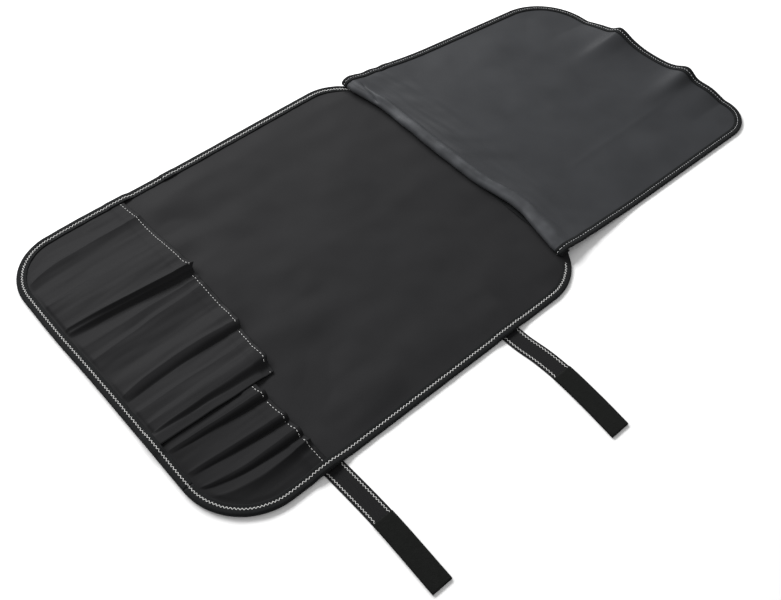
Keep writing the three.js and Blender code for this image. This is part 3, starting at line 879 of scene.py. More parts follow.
def leathercloth_finish(name, colour, grain, roughness, specular, crest=None):
    """Coated cloth with a fine pebbled grain, slight clouds in its gloss and a softly worn tone.

    A crest gives the place and the reach, along the cloth's UV map, of a fold where a painted highlight
    brightens the colour in streaks, and the cloth is made a little glossier there.
    """
    finish = Finish(name)
    place = finish.object_place()
    pebbles = finish.cells(place, grain, "SMOOTH_F1")
    fine = finish.noise(place, grain * 0.45, 3.0)
    clouds = finish.noise(place, 0.07, 3.0, 0.55)
    height = pebbles * -0.7 + fine * 0.4
    tone = clouds * 0.7 + fine * 0.15 + pebbles * 0.2
    gloss = roughness + (clouds - 0.5) * 0.24
    darkest, brightest = 0.72, 1.28
    if crest:
        # Painted highlight: streaks along the fold's crest brighten the colour up to almost threefold and
        # lower the roughness
        off = (finish.cloth_place()[1] - crest[0]) / crest[1]
        off_squared = off * off
        streaks = finish.noise(place, 0.024, 2.0)
        painted_highlight = streaks * streaks / (off_squared * off_squared + 1)
        brightest = 2.96
        tone = tone * 0.25 + painted_highlight
        gloss = gloss - painted_highlight * 0.2
    shade = finish.tint(tone, scaled(colour, darkest), scaled(colour, brightest))
    return finish.surface(shade, gloss, height, relief=grain * 0.12, specular=specular)


def tape_finish(name, colour, rib):
    """Grosgrain tape: fine ribs across its width, and a fuzz of yarn."""
    finish = Finish(name)
    place, along, across = finish.cloth_place()
    wander = finish.noise(place, 0.006, 2.0) * 0.5
    ribs = (along * (2 * math.pi / rib) + wander).sine() * 0.5 + 0.5
    yarn = (across * (2 * math.pi / (rib * 0.6))).sine() * 0.5 + 0.5
    fuzz = finish.noise(place, rib * 0.5, 3.0)
    shade = finish.tint(ribs * 0.6 + fuzz * 0.4, scaled(colour, 0.45), scaled(colour, 1.55))
    height = ribs * 0.7 + yarn * 0.15 + fuzz * 0.25
    gloss = 0.82 - ribs * 0.1
    return finish.surface(shade, gloss, height, rib * 0.3, specular=0.08, sheen=0.012, sheen_roughness=0.4)


def webbing_finish(name, colour, yarn):
    """Woven webbing: slanted rows of yarn that turn back at each rib."""
    finish = Finish(name)
    place, along, across = finish.cloth_place()
    ribs = (across * (2 * math.pi / (yarn * 4))).sine() * 0.5 + 0.5
    slant = (along * (2 * math.pi / yarn) + ribs * 5.0).sine() * 0.5 + 0.5
    fuzz = finish.noise(place, yarn * 0.6, 3.0)
    shade = finish.tint(slant * 0.55 + fuzz * 0.45, scaled(colour, 0.6), scaled(colour, 1.4))
    height = slant * 0.6 + ribs * 0.3 + fuzz * 0.2
    gloss = 0.85 - slant * 0.1
    return finish.surface(shade, gloss, height, yarn * 0.25, specular=0.08, sheen=0.012, sheen_roughness=0.4)


def pile_finish(name, colour):
    """Hook and loop pile: a dense fuzz of small loops."""
    finish = Finish(name)
    place = finish.object_place()
    loops = finish.cells(place, PILE_LOOP)
    fuzz = finish.noise(place, PILE_FUZZ, 4.0, 0.65)
    rows = finish.noise(place, PILE_ROW, 2.0)
    shade = finish.tint(fuzz * 0.6 + rows * 0.4, scaled(colour, 0.45), scaled(colour, 1.5))
    height = loops * -0.6 + fuzz
    return finish.surface(shade, 0.95, height, PILE_RELIEF, specular=0.05, sheen=0.015, sheen_roughness=0.6)


def thread_finish(name, colour):
    """Sewing thread with a light twist."""
    finish = Finish(name)
    _, along, around = finish.cloth_place()
    turns = along * (2 * math.pi / TWIST_ALONG) + around * (2 * math.pi / TWIST_AROUND)
    twist = turns.sine() * 0.5 + 0.5
    shade = finish.tint(twist, scaled(colour, 0.78), colour)
    return finish.surface(shade, 0.75 - twist * 0.1, twist, TWIST_RELIEF, specular=0.3)


def floor_finish(name, colour):
    """A plain pale table top."""
    finish = Finish(name)
    clouds = finish.noise(finish.object_place(), 0.6, 2.0)
    shade = finish.tint(clouds, scaled(colour, 0.995), colour)
    return finish.surface(shade, 0.9 + clouds * 0.05, clouds, relief=0.00001, specular=0.1)


def placed_grid(rows, columns, place, size):
    """A grid of cloth placed by row and column, with its UV map in metres along the rows and across them."""
    mesh = bmesh.new()
    layer = mesh.loops.layers.uv.new("UVMap")
    row_count, column_count = len(rows) - 1, len(columns) - 1
    bmesh.ops.create_grid(mesh, x_segments=row_count, y_segments=column_count, size=0.5, calc_uvs=True)
    reach = max(vert.co.x for vert in mesh.verts)
    for vert in mesh.verts:
        row = round((vert.co.x / reach + 1) / 2 * row_count)
        column = round((vert.co.y / reach + 1) / 2 * column_count)
        vert.co = place(rows[row], columns[column])
    for face in mesh.faces:
        for loop in face.loops:
            along, across = loop[layer].uv
            loop[layer].uv = (along * size[0], across * size[1])
    return mesh


def finished_piece(name, mesh, material, replaced=()):
    """A named object from a bmesh, smooth-shaded, riding on the roll."""
    data = bpy.data.meshes.new(name)
    for face in mesh.faces:
        face.smooth = True
    mesh.to_mesh(data)
    mesh.free()
    data.materials.append(material)
    piece = bpy.data.objects.new(name, data)
    bpy.context.scene.collection.objects.link(piece)
    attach(piece, "root")
    if replaced:
        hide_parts(*replaced)
    return piece


def thickened(piece, thickness, offset=-1.0):
    """A wall of cloth, from a sheet that is its outer face or its middle."""
    wall = piece.modifiers.new("thickness", "SOLIDIFY")
    wall.thickness = thickness * MM
    wall.offset = offset
    wall.use_even_offset = True


def thread_mesh(points, radius, sides=6, flatness=0.8):
    """A thread through points, each a place and the surface's normal there."""
    places = [place for place, _ in points]
    lengths = [0.0]
    for first, second in zip(places, places[1:]):
        lengths.append(lengths[-1] + (second - first).length)
    last = len(points) - 1
    crosses = []
    for index, (place, normal) in enumerate(points):
        travel = (places[min(last, index + 1)] - places[max(0, index - 1)]).normalized()
        side = travel.cross(normal).normalized()
        crosses.append((place, side, side.cross(travel).normalized()))

    def put(index, turn):
        place, side, up = crosses[index]
        angle = 2 * math.pi * turn / sides
        return place + side * (radius * math.cos(angle)) + up * (radius * flatness * math.sin(angle))

    size = (lengths[-1], 2 * math.pi * radius)
    mesh = placed_grid(range(len(points)), range(sides + 1), put, size)
    bmesh.ops.remove_doubles(mesh, verts=mesh.verts, dist=radius * 0.01)
    ends = [edge for edge in mesh.edges if edge.is_boundary]
    bmesh.ops.holes_fill(mesh, edges=ends, sides=sides + 1)
    bmesh.ops.recalc_face_normals(mesh, faces=mesh.faces)
    return mesh


# Heights of the thread in radii: a zigzag's arch and how far its ends sink in, a straight stitch at shares
# of its length, and how deep a hidden stretch of each lies
ZIGZAG_ARCH = 1.2
ZIGZAG_SUNK = 0.5
ZIGZAG_HIDDEN = 3.2
STITCH_RISES = ((0, -2.4), (0.1, -0.3), (0.25, 0.5), (0.5, 0.75), (0.75, 0.5), (0.9, -0.3), (1, -2.4))
STITCH_HIDDEN = 2.4


def never(place):
    """No place of a stitch is hidden."""
    return False


def zigzag(surface, start, end, inset, period, spread, radius, hidden=never):
    """Points of a zigzag stitch on a surface, from one length along it to another."""
    legs = max(2, round((end - start) / (period / 2)))
    points = []
    for leg in range(legs):
        side = 1 if leg % 2 else -1
        for share in (0, 0.25, 0.5, 0.75):
            place = mix(start, end, (leg + share) / legs)
            point, normal = surface(place, inset - side * spread * (1 - 2 * share))
            height = ZIGZAG_ARCH * math.sin(math.pi * share) - ZIGZAG_SUNK
            height = -ZIGZAG_HIDDEN if hidden(place) else height
            points.append((point + normal * (radius * height), normal))
    return points


def running(surface, start, end, inset, pitch, radius, shown=0.56, hidden=never):
    """Points of a straight stitch on a surface: each stitch shows over a share of its pitch."""
    stitches = max(1, round((end - start) / pitch))
    points = []
    for stitch in range(stitches):
        for share, height in STITCH_RISES:
            place = mix(start, end, (stitch + 0.5 + (share - 0.5) * shown) / stitches)
            point, normal = surface(place, inset)
            height = -STITCH_HIDDEN if hidden(place) else height
            points.append((point + normal * (radius * height), normal))
    return points


# Section of a folded tape, from the upper leg's inner edge over the fold to the lower leg's inner edge:
# share of the way in, level (1 the upper face, -1 the lower one) and a small rise in millimetres
TAPE_SECTION = [
    (1.0, 1, -0.25),
    (0.965, 1, 0.0),
    (0.88, 1, 0.12),
    (0.78, 1, 0.1),
    (0.68, 1, -0.02),
    (0.6, 1, -0.16),
    (0.54, 1, -0.16),
    (0.46, 1, 0.0),
    (0.36, 1, 0.16),
    (0.25, 1, 0.22),
    (0.16, 1, 0.16),
    (0.095, 0.93, 0.0),
    (0.045, 0.74, 0.0),
    (0.012, 0.4, 0.0),
    (0.0, 0.0, 0.0),
    (0.012, -0.4, 0.0),
    (0.045, -0.74, 0.0),
    (0.095, -0.93, 0.0),
    (0.16, -1, 0.0),
    (0.4, -1, 0.0),
    (0.7, -1, 0.0),
    (1.0, -1, 0.0),
]


def panel_tape(place, inset, level, rise):
    """A point of the back panel's binding."""
    worn = swell(TAPE_EDGE_WEAR, place, 0) * ramp(inset, 0, BINDING_WIDTH) if level > 0 else 0.0
    point = PANEL_OUTLINE.at(place, inset + worn)
    low = panel_under(point.x, point.y) - HEM
    high = bound_top(point.x, point.y) + HEM + swell(TAPE_TOP_WEAR, place, inset)
    return to_model(*waved(point.x, point.y), mix(low, high, (level + 1) / 2) + rise)


def panel_tape_top(place, inset):
    """The binding's upper face and its normal, where the zigzag stitch lies."""
    share = inset / BINDING_WIDTH
    upper = [(reach, rise) for reach, level, rise in TAPE_SECTION if level == 1]
    rise = read_smooth(sorted(upper), share)
    return panel_tape(place, inset, 1, rise), Vector((0, 0, 1))


def under_flap(place):
    """Whether the back binding lies under the flap's fold at a length along it."""
    point = PANEL_OUTLINE.at(place, BINDING_WIDTH / 2)
    low, high = flap_edge("low", 0) + UNDER_FLAP_MARGIN, flap_edge("high", 0) - UNDER_FLAP_MARGIN
    return point.x > FOLD_EDGE and low < point.y < high


def flap_tape(place, inset, level, rise):
    """A point of the flap's binding and the sheet's normal there."""
    point = FLAP_OUTLINE.at(place, inset)
    offset = level * (FLAP_THICKNESS / 2 + HEM) + rise
    place_on_flap, normal = flap_point(point.x, point.y, offset)
    return to_model(*place_on_flap), normal


def pocket_columns(folds, step):
    """Columns of a pocket panel: the folds on both sides and the share between them."""
    columns = []
    for low, high in zip(folds, folds[1:]):
        count = max(1, round((high.mouth - low.mouth) * HALF_WIDTH / step))
        columns += [(low, high, number / count) for number in range(count)]
    return columns + [(folds[-2], folds[-1], 1.0)]


def lift_between(low, high, share):
    """Lift of the cloth between two folds: round at a soft fold, meeting at an edge at a crisp one."""
    if low.crisp and low.lift < GAP_LIFT:
        shape = 1 - (1 - share) ** GAP_STEEPNESS
    elif low.crisp and high.crisp:
        shape = share
    elif low.crisp:
        shape = 1 - (1 - share) ** 2
    elif high.crisp:
        shape = share**2
    else:
        shape = ease(share)
    return mix(low.lift, high.lift, shape)


def crease_near(column):
    """How near a column is to a raised crease: 1 on it, fading soon on its lit side, slowly on the other."""
    low, high, share = column
    width = (high.mouth - low.mouth) * HALF_WIDTH
    lit = math.exp(-share * width / CREASE_REACH) if low.crisp and low.lift > GAP_LIFT else 0.0
    shaded = share**1.5 if high.crisp and high.lift > GAP_LIFT else 0.0
    return max(lit, shaded)


def pocket_top(along, column, pocket):
    """Upper face of a pocket panel, in the roll's plan."""
    low, high, share = column
    depth, seed = pocket.depth, pocket.seed
    opened = ramp(along, CLEAR_OF_BINDING, depth)
    midway = 4 * opened * (1 - opened)
    foot, mouth = mix(low.foot, high.foot, share), mix(low.mouth, high.mouth, share)
    bow = PLEAT_BOW * bump(foot, BOWED_PLACE, BOWED_SPREAD) * midway
    wander = swell(POCKET_WANDER, along, foot * HALF_WIDTH, seed) * midway
    across = mix(foot, mouth, opened) * HALF_WIDTH + bow + wander
    beyond = max(0.0, along - POCKET_CORNER_LOW) / (depth - POCKET_CORNER_LOW)
    x = along - beyond * depth * (1 - mix(low.depth, high.depth, share))
    cut = HALF_WIDTH - HEM
    y = squeezed(min(cut, max(-cut, across)), x, POCKET_CORNER_LOW, POCKET_CORNER_HIGH, cut)
    inside = smooth_ramp(inset_at(x, y), BINDING_WIDTH + PLEAT_START, BINDING_WIDTH + pocket.start)
    raised = lift_between(low, high, share)
    lift = pocket.height * raised * opened**pocket.opening * inside
    lift += pocket.crease * crease_near(column) * inside
    tall = raised * pocket.height / LARGE_PLEAT_HEIGHT
    lift -= TIP_CURL * tall * (1 - smooth_ramp(depth - along, 0, TIP_CURL_REACH))
    x += TIP_LENGTH * tall**4 * bump(depth - along, 0, TIP_REACH)
    y -= PLEAT_LEAN * raised * opened * inside
    over = 0.0
    if pocket.lapped:
        over = LAP_RISE * mix(low.over, high.over, share)
        over *= 1 - smooth_ramp(along, LAP_END, LAP_END + STEP_LENGTH)
    streaks = swell(POCKET_FINE, x / 7, y, seed) + swell(POCKET_STREAKS, x / 2.5, y, seed)
    channel = CHANNEL_DEPTH * bump(depth - along, HEM_STITCH_INSET, CHANNEL_SPREAD)
    under = panel_top(x, y) + GAP + over + max(0.0, lift + streaks * inside)
    return x, y, under + pocket_cloth(along, depth) - channel


def flap_across(along, share):
    """Place across the flap's cloth, drawn in at its round far corners, and the cloth's two edges there."""
    low, high = flap_edge("low", along) + HEM, flap_edge("high", along) - HEM
    across = mix(low, high, share)
    for sign, edge, corner in ((-1, low, FAR_CORNER_SMALL), (1, high, FAR_CORNER_LARGE)):
        beyond = along - (FLAP_LENGTH - corner)
        limit = edge - sign * (corner + CORNER_MARGIN)
        if beyond > 0 and sign * (across - limit) > 0:
            sine = min(1.0, beyond / (corner - HEM))
            narrowed = edge - sign * (corner - HEM) * (1 - math.sqrt(1 - sine * sine))
            across = limit + (across - limit) * (narrowed - limit) / (edge - limit)
    return across, low, high


def flap_swell(along, across, margin):
    """How far the flap's open cloth rises above its level, away from its fold and its edges."""
    uneven = FLAP_MEAN + swell(FLAP_SLOW, along, across)
    uneven += swell(FLAP_DIAGONAL, along + across, across - along)
    return max(0.0, uneven) * smooth_ramp(along, *FLAP_SWELLS_FROM) * smooth_ramp(margin, *FLAP_SWELLS_INSET)


def settings():
    """The scene's settings, in the order in which the panel shows them."""
    scene = bpy.context.scene
    return scene.roll_cloth, scene.roll_trim, scene.roll_thread, scene.roll_stage


class RollCloth(bpy.types.PropertyGroup):
    """Coated cloth of the panel, the pockets and the flap"""

    colour: FloatVectorProperty(
        name="Cloth colour",
        description="Colour of the back panel and the pockets",
        subtype="COLOR",
        size=3,
        min=0,
        max=1,
        default=linear(37, 37, 38),
    )
    flap_colour: FloatVectorProperty(
        name="Flap colour",
        description="Colour of the flap's smoother side",
        subtype="COLOR",
        size=3,
        min=0,
        max=1,
        default=linear(50, 51, 53),
    )
    grain: FloatProperty(
        name="Grain",
        description="Size of one pebble of the grain",
        unit="LENGTH",
        default=0.0009,
        min=0.0002,
        max=0.004,
    )
    mesh_step: FloatProperty(
        name="Mesh step",
        description="Spacing of the cloth's mesh",
        unit="LENGTH",
        default=0.003,
        min=0.0015,
        max=0.01,
    )


class RollTrim(bpy.types.PropertyGroup):
    """Tape, webbing and pile"""

    tape_colour: FloatVectorProperty(
        name="Tape colour",
        description="Colour of the binding tape",
        subtype="COLOR",
        size=3,
        min=0,
        max=1,
        default=linear(24, 25, 26),
    )
    rib: FloatProperty(
        name="Tape rib",
        description="Spacing of the tape's ribs",
        unit="LENGTH",
        default=0.0011,
        min=0.0004,
        max=0.004,
    )
    webbing_colour: FloatVectorProperty(
        name="Webbing colour",
        description="Colour of the straps",
        subtype="COLOR",
        size=3,
        min=0,
        max=1,
        default=linear(28, 28, 29),
    )
    pile_colour: FloatVectorProperty(
        name="Pile colour",
        description="Colour of the hook and loop patches",
        subtype="COLOR",
        size=3,
        min=0,
        max=1,
        default=linear(23, 24, 23),
    )


class RollThread(bpy.types.PropertyGroup):
    """Sewing thread"""

    colour: FloatVectorProperty(
        name="Thread colour",
        description="Colour of the sewing thread",
        subtype="COLOR",
        size=3,
        min=0,
        max=1,
        default=linear(238, 238, 236),
    )
    flap_colour: FloatVectorProperty(
        name="Flap thread colour",
        description="Colour of the thread on the flap's side",
        subtype="COLOR",
        size=3,
        min=0,
        max=1,
        default=linear(216, 217, 218),
    )
    thickness: FloatProperty(
        name="Thickness",
        description="Thickness of the thread",
        unit="LENGTH",
        default=0.0006,
        min=0.0003,
        max=0.002,
    )
    zigzag: FloatProperty(
        name="Zigzag",
        description="Length of one zigzag along the binding",
        unit="LENGTH",
        default=0.00425,
        min=0.002,
        max=0.01,
    )
    pitch: FloatProperty(
        name="Stitch length",
        description="Length of one straight stitch",
        unit="LENGTH",
        default=0.0044,
        min=0.002,
        max=0.01,
    )


class RollStage(bpy.types.PropertyGroup):
    """Floor, lights and camera"""

    floor_colour: FloatVectorProperty(
        name="Floor colour",
        description="Colour of the floor",
        subtype="COLOR",
        size=3,
        min=0,
        max=1,
        default=(0.93, 0.93, 0.93),
    )
    key_power: FloatProperty(
        name="Key light",
        description="Power of the large soft light behind the roll, in watts",
        default=112,
        min=0,
        max=500,
    )
    fill: FloatProperty(
        name="Fill",
        description="Brightness of the light from all around",
        default=0.5,
        min=0,
        max=5,
    )
    lens: FloatProperty(
        name="Lens",
        description="Focal length of the camera",
        unit="CAMERA",
        default=46.72,
        min=20,
        max=200,
    )


# The stage, in metres: the floor's half width, the light's place and size, and the camera as it was solved
# from the photo, with its roll in degrees and its sensor in millimetres
FLOOR_REACH = 6
LIGHT_PLACE = (0.15, 1.95, 1.35)
LIGHT_SIZE = (2.8, 0.8)
CAMERA_PLACE = (-0.60866, -0.53397, 0.92256)
CAMERA_TARGET = (-0.12603, -0.02414, 0.0)
CAMERA_ROLL = 2.22
SENSOR_WIDTH = 36


def camera_matrix():
    """The camera's place and turn, looking at its target with a slight roll."""
    place, roll = Vector(CAMERA_PLACE), math.radians(CAMERA_ROLL)
    back = (place - Vector(CAMERA_TARGET)).normalized()
    right = Vector((0, 0, 1)).cross(back).normalized()
    up = back.cross(right)
    turned = right * math.cos(roll) + up * math.sin(roll)
    raised = up * math.cos(roll) - right * math.sin(roll)
    axes = Matrix((turned, raised, back)).transposed().to_4x4()
    return Matrix.Translation(place) @ axes


class KNIFEROLL_OT_stage(bpy.types.Operator):
    """Adds the floor, the soft lights and the camera"""

    bl_idname = "kniferoll.stage"
    bl_label = "Stage"

    def execute(self, context):
        stage = context.scene.roll_stage
        mesh = bmesh.new()
        bmesh.ops.create_grid(mesh, x_segments=8, y_segments=8, size=FLOOR_REACH)
        data = bpy.data.meshes.new("floor")
        mesh.to_mesh(data)
        mesh.free()
        data.materials.append(floor_finish("floor", tuple(stage.floor_colour)))
        floor = bpy.data.objects.new("floor", data)
        context.scene.collection.objects.link(floor)

        world = bpy.data.worlds.new("soft_light")
        world.use_nodes = True
        background = world.node_tree.nodes["Background"]
        background.inputs["Color"].default_value = (1, 1, 1, 1)
        background.inputs["Strength"].default_value = stage.fill
        context.scene.world = world
        context.scene.view_settings.view_transform = "Standard"

        key = bpy.data.lights.new("key", "AREA")
        key.shape = "RECTANGLE"
        key.size, key.size_y = LIGHT_SIZE
        key.energy = stage.key_power
        light = bpy.data.objects.new("key", key)
        light.location = LIGHT_PLACE
        light.rotation_euler = (-light.location).to_track_quat("-Z", "Y").to_euler()
        context.scene.collection.objects.link(light)

        camera = bpy.data.objects.new("camera", bpy.data.cameras.new("camera"))
        camera.data.lens = stage.lens
        camera.data.sensor_width = SENSOR_WIDTH
        camera.matrix_world = camera_matrix()
        context.scene.collection.objects.link(camera)
        context.scene.camera = camera
        return {"FINISHED"}


class KNIFEROLL_OT_back_panel(bpy.types.Operator):
    """Adds the back panel's coated cloth"""

    bl_idname = "kniferoll.back_panel"
    bl_label = "Back panel"

    def execute(self, context):
        cloth = context.scene.roll_cloth
        step = cloth.mesh_step / MM
        rows = corner_places(HEM, PANEL_LENGTH - HEM, POCKET_CORNER_LOW, FLAP_END_CORNER, step)
        columns = even_places(HEM - HALF_WIDTH, HALF_WIDTH - HEM, step)

        def place(x, y):
            y = panel_across(x, y)
            return to_model(*waved(x, y), panel_top(x, y) + panel_swell(x, y))

        mesh = placed_grid(rows, columns, place, (PANEL_LENGTH * MM, ROLL_WIDTH * MM))
        colour = tuple(cloth.colour)
        material = leathercloth_finish("leathercloth", colour, cloth.grain, roughness=0.52, specular=0.021)
        piece = finished_piece("back_panel_cloth", mesh, material, ["back_panel"])
        thickened(piece, PANEL_THICKNESS - PANEL_DIP)
        return {"FINISHED"}


class KNIFEROLL_OT_back_binding(bpy.types.Operator):
    """Adds the folded tape round the back panel and its zigzag stitch"""

    bl_idname = "kniferoll.back_binding"
    bl_label = "Back binding"

    def execute(self, context):
        trim, thread = context.scene.roll_trim, context.scene.roll_thread
        stations = PANEL_OUTLINE.stations(TAPE_STEP)

        def place(at, point):
            share, level, rise = point
            return panel_tape(at, share * BINDING_WIDTH, level, rise)

        tape_width = BINDING_WIDTH * 2 + 1
        mesh = placed_grid(stations, TAPE_SECTION, place, (PANEL_OUTLINE.length * MM, tape_width * MM))
        bmesh.ops.remove_doubles(mesh, verts=mesh.verts, dist=0.02 * MM)
        bmesh.ops.reverse_faces(mesh, faces=mesh.faces)
        material = tape_finish("binding_tape", tuple(trim.tape_colour), trim.rib)
        piece = finished_piece("back_binding_tape", mesh, material, ["back_binding"])
        thickened(piece, TAPE_WALL)

        radius = thread.thickness / 2
        inset, period = BINDING_WIDTH * STITCH_SHARE, thread.zigzag / MM
        points = zigzag(
            panel_tape_top, 0, PANEL_OUTLINE.length, inset, period, BINDING_SPREAD, radius, hidden=under_flap
        )
        sewn = thread_finish("thread", tuple(thread.colour))
        finished_piece("back_binding_stitch", thread_mesh(points, radius), sewn)
        return {"FINISHED"}


class KNIFEROLL_OT_pockets(bpy.types.Operator):
    """Adds the pleated pocket panels and the stitches of their hems"""

    bl_idname = "kniferoll.pockets"
    bl_label = "Pockets"

    def execute(self, context):
        cloth, thread = context.scene.roll_cloth, context.scene.roll_thread
        sewn = thread_finish("pocket_thread", tuple(thread.colour))
        for pocket in POCKETS:
            name, folds, depth = pocket.name, pocket.folds, pocket.depth
            # Both pockets copy one cloth, and each copy's colour and specular are scaled down by its painted
            # shade, darkest on the small pocket
            material = leathercloth_finish(
                f"{name}_pocket_leathercloth",
                scaled(cloth.colour, pocket.shade),
                cloth.grain,
                roughness=0.52,
                specular=0.024 * pocket.shade,
            )
            mouth_start = depth - HEM_DEPTH - HEM_ROWS_MARGIN
            rows = corner_places(HEM, mouth_start, POCKET_CORNER_LOW, 0, POCKET_ROW_STEP)[:-1]
            rows += even_places(mouth_start, depth, HEM_ROW_STEP)
            columns = pocket_columns(folds, POCKET_COLUMN_STEP)

            def top(along, column):
                return pocket_top(along, column, pocket)

            def place(along, column):
                x, y, z = top(along, column)
                rolled = 1 - ramp(depth - along, 0, HEM_ROUND)
                return to_model(*waved(x, y), z - HEM_ROUND_DROP * rolled)

            width = (folds[-1].foot - folds[0].foot) * HALF_WIDTH
            mesh = placed_grid(rows, columns, place, (depth * MM, width * MM))
            piece = finished_piece(
                f"{name}_pocket_cloth", mesh, material, [f"pocket_panel_{name}"]
            )
            thickened(piece, POCKET_THICKNESS)
            flat = (width * POCKET_FULLNESS * MM, (depth + HEM_TURNED) * MM)

            def hem_point(at, inset):
                whole = (len(columns) - 1) * ramp(at, 0, width)
                index = min(len(columns) - 2, int(whole))
                first = Vector(top(depth - inset, columns[index]))
                second = Vector(top(depth - inset, columns[index + 1]))
                return first.lerp(second, whole - index)

            def hem_top(at, inset):
                x, y, z = hem_point(at, inset)
                return to_model(*waved(x, y), z), Vector((0, 0, 1))

            def in_pleat(at):
                y = hem_point(at, HEM_STITCH_INSET).y
                return any(low < y < high for low, high in pocket.hidden)

            start, end = pocket.sewn[0], width - pocket.sewn[1]
            radius, pitch = thread.thickness * HEM_THREAD, thread.pitch / MM
            points = running(hem_top, start, end, HEM_STITCH_INSET, pitch, radius, hidden=in_pleat)
            finished_piece(f"{name}_pocket_stitch", thread_mesh(points, radius), sewn)
        return {"FINISHED"}


class KNIFEROLL_OT_flap(bpy.types.Operator):
    """Adds the flap's sheet with its soft fold and rippled far edge"""

    bl_idname = "kniferoll.flap"
    bl_label = "Flap"

    def execute(self, context):
        cloth = context.scene.roll_cloth
        step = cloth.mesh_step / MM
        turn = even_places(FLAP_START, 0, TURN_ROW_STEP)[:-1]
        roll = even_places(0, ROLL_ROWS_END, ROLL_ROW_STEP)[:-1]
        rows = turn + roll + corner_places(ROLL_ROWS_END, FLAP_LENGTH - HEM, 0, FAR_CORNER_LARGE, step)
        columns = even_places(0, 1, step / FLAP_WIDTH)

        def place(along, share):
            across, low, high = flap_across(along, share)
            margin = min(across - low, high - across, FLAP_LENGTH - along)
            point, _ = flap_point(along, across, flap_swell(along, across, margin))
            return to_model(*point)

        length = FLAP_LENGTH - FLAP_START
        mesh = placed_grid(rows, columns, place, (length * MM, FLAP_WIDTH * MM))
        row_length = length * MM / (len(rows) - 1)
        # The crest adds a painted highlight in streaks along the fold's roll
        material = leathercloth_finish(
            "flap_cloth",
            tuple(cloth.flap_colour),
            cloth.grain * 0.7,
            roughness=0.42,
            specular=0.042,
            crest=((len(turn) + PAINTED_HIGHLIGHT_ROW) * row_length, PAINTED_HIGHLIGHT_ROWS * row_length),
        )
        piece = finished_piece("flap_cloth_sheet", mesh, material, ["flap_panel"])
        thickened(piece, FLAP_THICKNESS, offset=0.0)
        size = (FLAP_WIDTH * MM, length * MM)
        return {"FINISHED"}


class KNIFEROLL_OT_flap_binding(bpy.types.Operator):
    """Adds the folded tape round the flap and its straight stitch"""

    bl_idname = "kniferoll.flap_binding"
    bl_label = "Flap binding"

    def execute(self, context):
        trim, thread = context.scene.roll_trim, context.scene.roll_thread
        stations = FLAP_OUTLINE.stations(FLAP_TAPE_STEP)

        def place(at, point):
            share, level, rise = point
            return flap_tape(at, share * FLAP_BINDING_WIDTH, level, rise)[0]

        tape_width = FLAP_BINDING_WIDTH * 2 + 1
        mesh = placed_grid(stations, TAPE_SECTION, place, (FLAP_OUTLINE.length * MM, tape_width * MM))
        bmesh.ops.reverse_faces(mesh, faces=mesh.faces)
        material = tape_finish("flap_binding_tape", tuple(trim.tape_colour), trim.rib)
        piece = finished_piece("flap_binding_tape", mesh, material, ["flap_binding"])
        thickened(piece, TAPE_WALL)

        def top(at, inset):
            return flap_tape(at, inset, 1, -STITCH_DIP)

        radius, inset = thread.thickness * FLAP_THREAD, FLAP_BINDING_WIDTH * STITCH_SHARE
        start, end = FLAP_STITCH_START, FLAP_OUTLINE.length - FLAP_STITCH_START
        points = running(top, start, end, inset, FLAP_PITCH, radius, FLAP_SHOWN)
        sewn = thread_finish("flap_thread", tuple(thread.flap_colour))
        finished_piece("flap_binding_stitch", thread_mesh(points, radius), sewn)
        return {"FINISHED"}


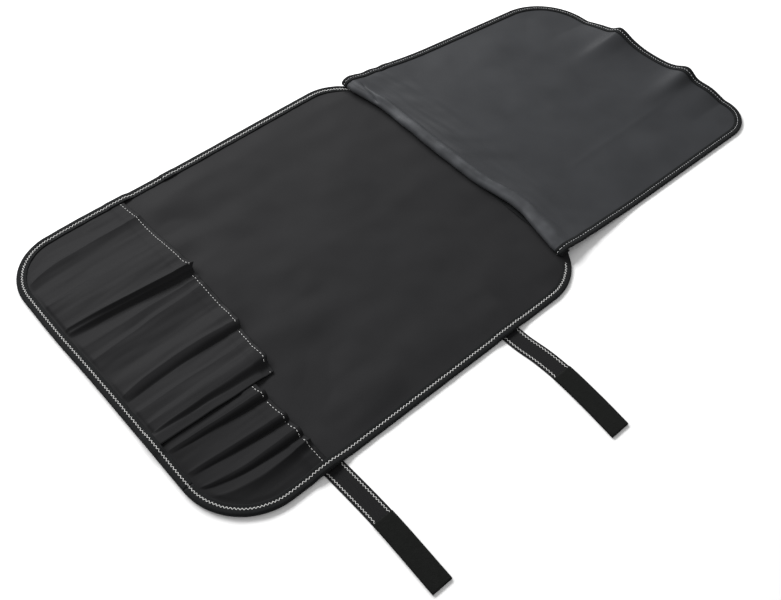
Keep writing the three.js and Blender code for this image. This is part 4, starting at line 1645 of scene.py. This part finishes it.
class KNIFEROLL_OT_straps(bpy.types.Operator):
    """Adds the webbing straps, their zigzag stitches and the hook and loop patches"""

    bl_idname = "kniferoll.straps"
    bl_label = "Straps"

    def execute(self, context):
        trim, thread = context.scene.roll_trim, context.scene.roll_thread
        webbing = webbing_finish("webbing", tuple(trim.webbing_colour), 0.0012)
        pile = pile_finish("loop_pile", tuple(trim.pile_colour))
        sewn = thread_finish("strap_thread", tuple(thread.colour))
        patch_start = STRAP_LENGTH - PATCH_LENGTH
        patch_under = STRAP_THICKNESS + GAP
        # The columns lie closer together at the strap's rounded edges
        across = [-1, -0.97, -0.9] + [share / 8 for share in range(-6, 7)] + [0.9, 0.97, 1]
        for index in range(len(STRAP_PLACES)):
            number = index + 1

            def strap(at, share):
                rounded = STRAP_ROUND * smooth_ramp(abs(share), 0.9, 1)
                return strap_place(index, at, share * HALF_STRAP, STRAP_THICKNESS - rounded)

            def patch(at, share):
                rounded = PATCH_ROUND * smooth_ramp(abs(share), 0.88, 1)
                from_end = min(at - patch_start, STRAP_LENGTH - at)
                ends = PATCH_ROUND * (1 - smooth_ramp(from_end, 0, PATCH_END_ROUND))
                spot = Vector((at * PATCH_BUMPS, share * HALF_STRAP * PATCH_BUMPS, number))
                rough = PATCH_ROUGHNESS * noise.noise(spot)
                top = patch_under + PATCH_THICKNESS - rounded - ends + rough
                return strap_place(index, at, share * HALF_STRAP, top)

            size = (STRAP_LENGTH * MM, STRAP_WIDTH * MM)
            mesh = placed_grid(even_places(0, STRAP_LENGTH, STRAP_ROW_STEP), across, strap, size)
            piece = finished_piece(f"webbing_strap_{number}", mesh, webbing, [f"strap_{number}"])
            thickened(piece, STRAP_THICKNESS - STRAP_DIP)

            size = (PATCH_LENGTH * MM, STRAP_WIDTH * MM)
            fine_across = even_places(-1, 1, 1 / HALF_STRAP)
            mesh = placed_grid(even_places(patch_start, STRAP_LENGTH, PATCH_STEP), fine_across, patch, size)
            piece = finished_piece(f"pile_patch_{number}", mesh, pile, [f"hook_patch_{number}"])
            thickened(piece, PATCH_THICKNESS - PATCH_DIP)

            radius = thread.thickness / 2
            start, end = STRAP_TUCK - STRAP_STITCH_START, patch_start + STRAP_STITCH_END
            for side, edge in ((-1, "low"), (1, "high")):

                def top(at, inset):
                    across_strap = side * (HALF_STRAP - inset)
                    return strap_place(index, at, across_strap, STRAP_THICKNESS), Vector((0, 0, 1))

                points = zigzag(top, start, end, STRAP_STITCH_INSET, STRAP_ZIGZAG, STRAP_SPREAD, radius)
                finished_piece(f"strap_{number}_stitch_{edge}", thread_mesh(points, radius), sewn)
        return {"FINISHED"}


class KNIFEROLL_PT_pieces(bpy.types.Panel):
    """The roll's pieces and their sizes and colours"""

    bl_idname = "KNIFEROLL_PT_pieces"
    bl_label = "Knife roll"
    bl_space_type = "VIEW_3D"
    bl_region_type = "UI"
    bl_category = "Knife roll"

    def draw(self, context):
        for group in settings():
            box = self.layout.box()
            for name in group.__annotations__:
                box.prop(group, name)
        for operator in OPERATORS:
            self.layout.operator(operator.bl_idname)


GROUPS = {
    "roll_cloth": RollCloth,
    "roll_trim": RollTrim,
    "roll_thread": RollThread,
    "roll_stage": RollStage,
}
OPERATORS = (
    KNIFEROLL_OT_stage,
    KNIFEROLL_OT_back_panel,
    KNIFEROLL_OT_back_binding,
    KNIFEROLL_OT_pockets,
    KNIFEROLL_OT_flap,
    KNIFEROLL_OT_flap_binding,
    KNIFEROLL_OT_straps,
)


def register():
    for group in (*GROUPS.values(), *OPERATORS, KNIFEROLL_PT_pieces):
        bpy.utils.register_class(group)
    for name, group in GROUPS.items():
        setattr(bpy.types.Scene, name, PointerProperty(type=group))


def unregister():
    for name in GROUPS:
        delattr(bpy.types.Scene, name)
    for group in (KNIFEROLL_PT_pieces, *reversed(OPERATORS), *reversed(GROUPS.values())):
        bpy.utils.unregister_class(group)


def main():
    register()
    bpy.ops.kniferoll.stage()
    bpy.ops.kniferoll.back_panel()
    bpy.ops.kniferoll.back_binding()
    bpy.ops.kniferoll.pockets()
    bpy.ops.kniferoll.flap()
    bpy.ops.kniferoll.flap_binding()
    bpy.ops.kniferoll.straps()


if __name__ == "__main__":
    main()
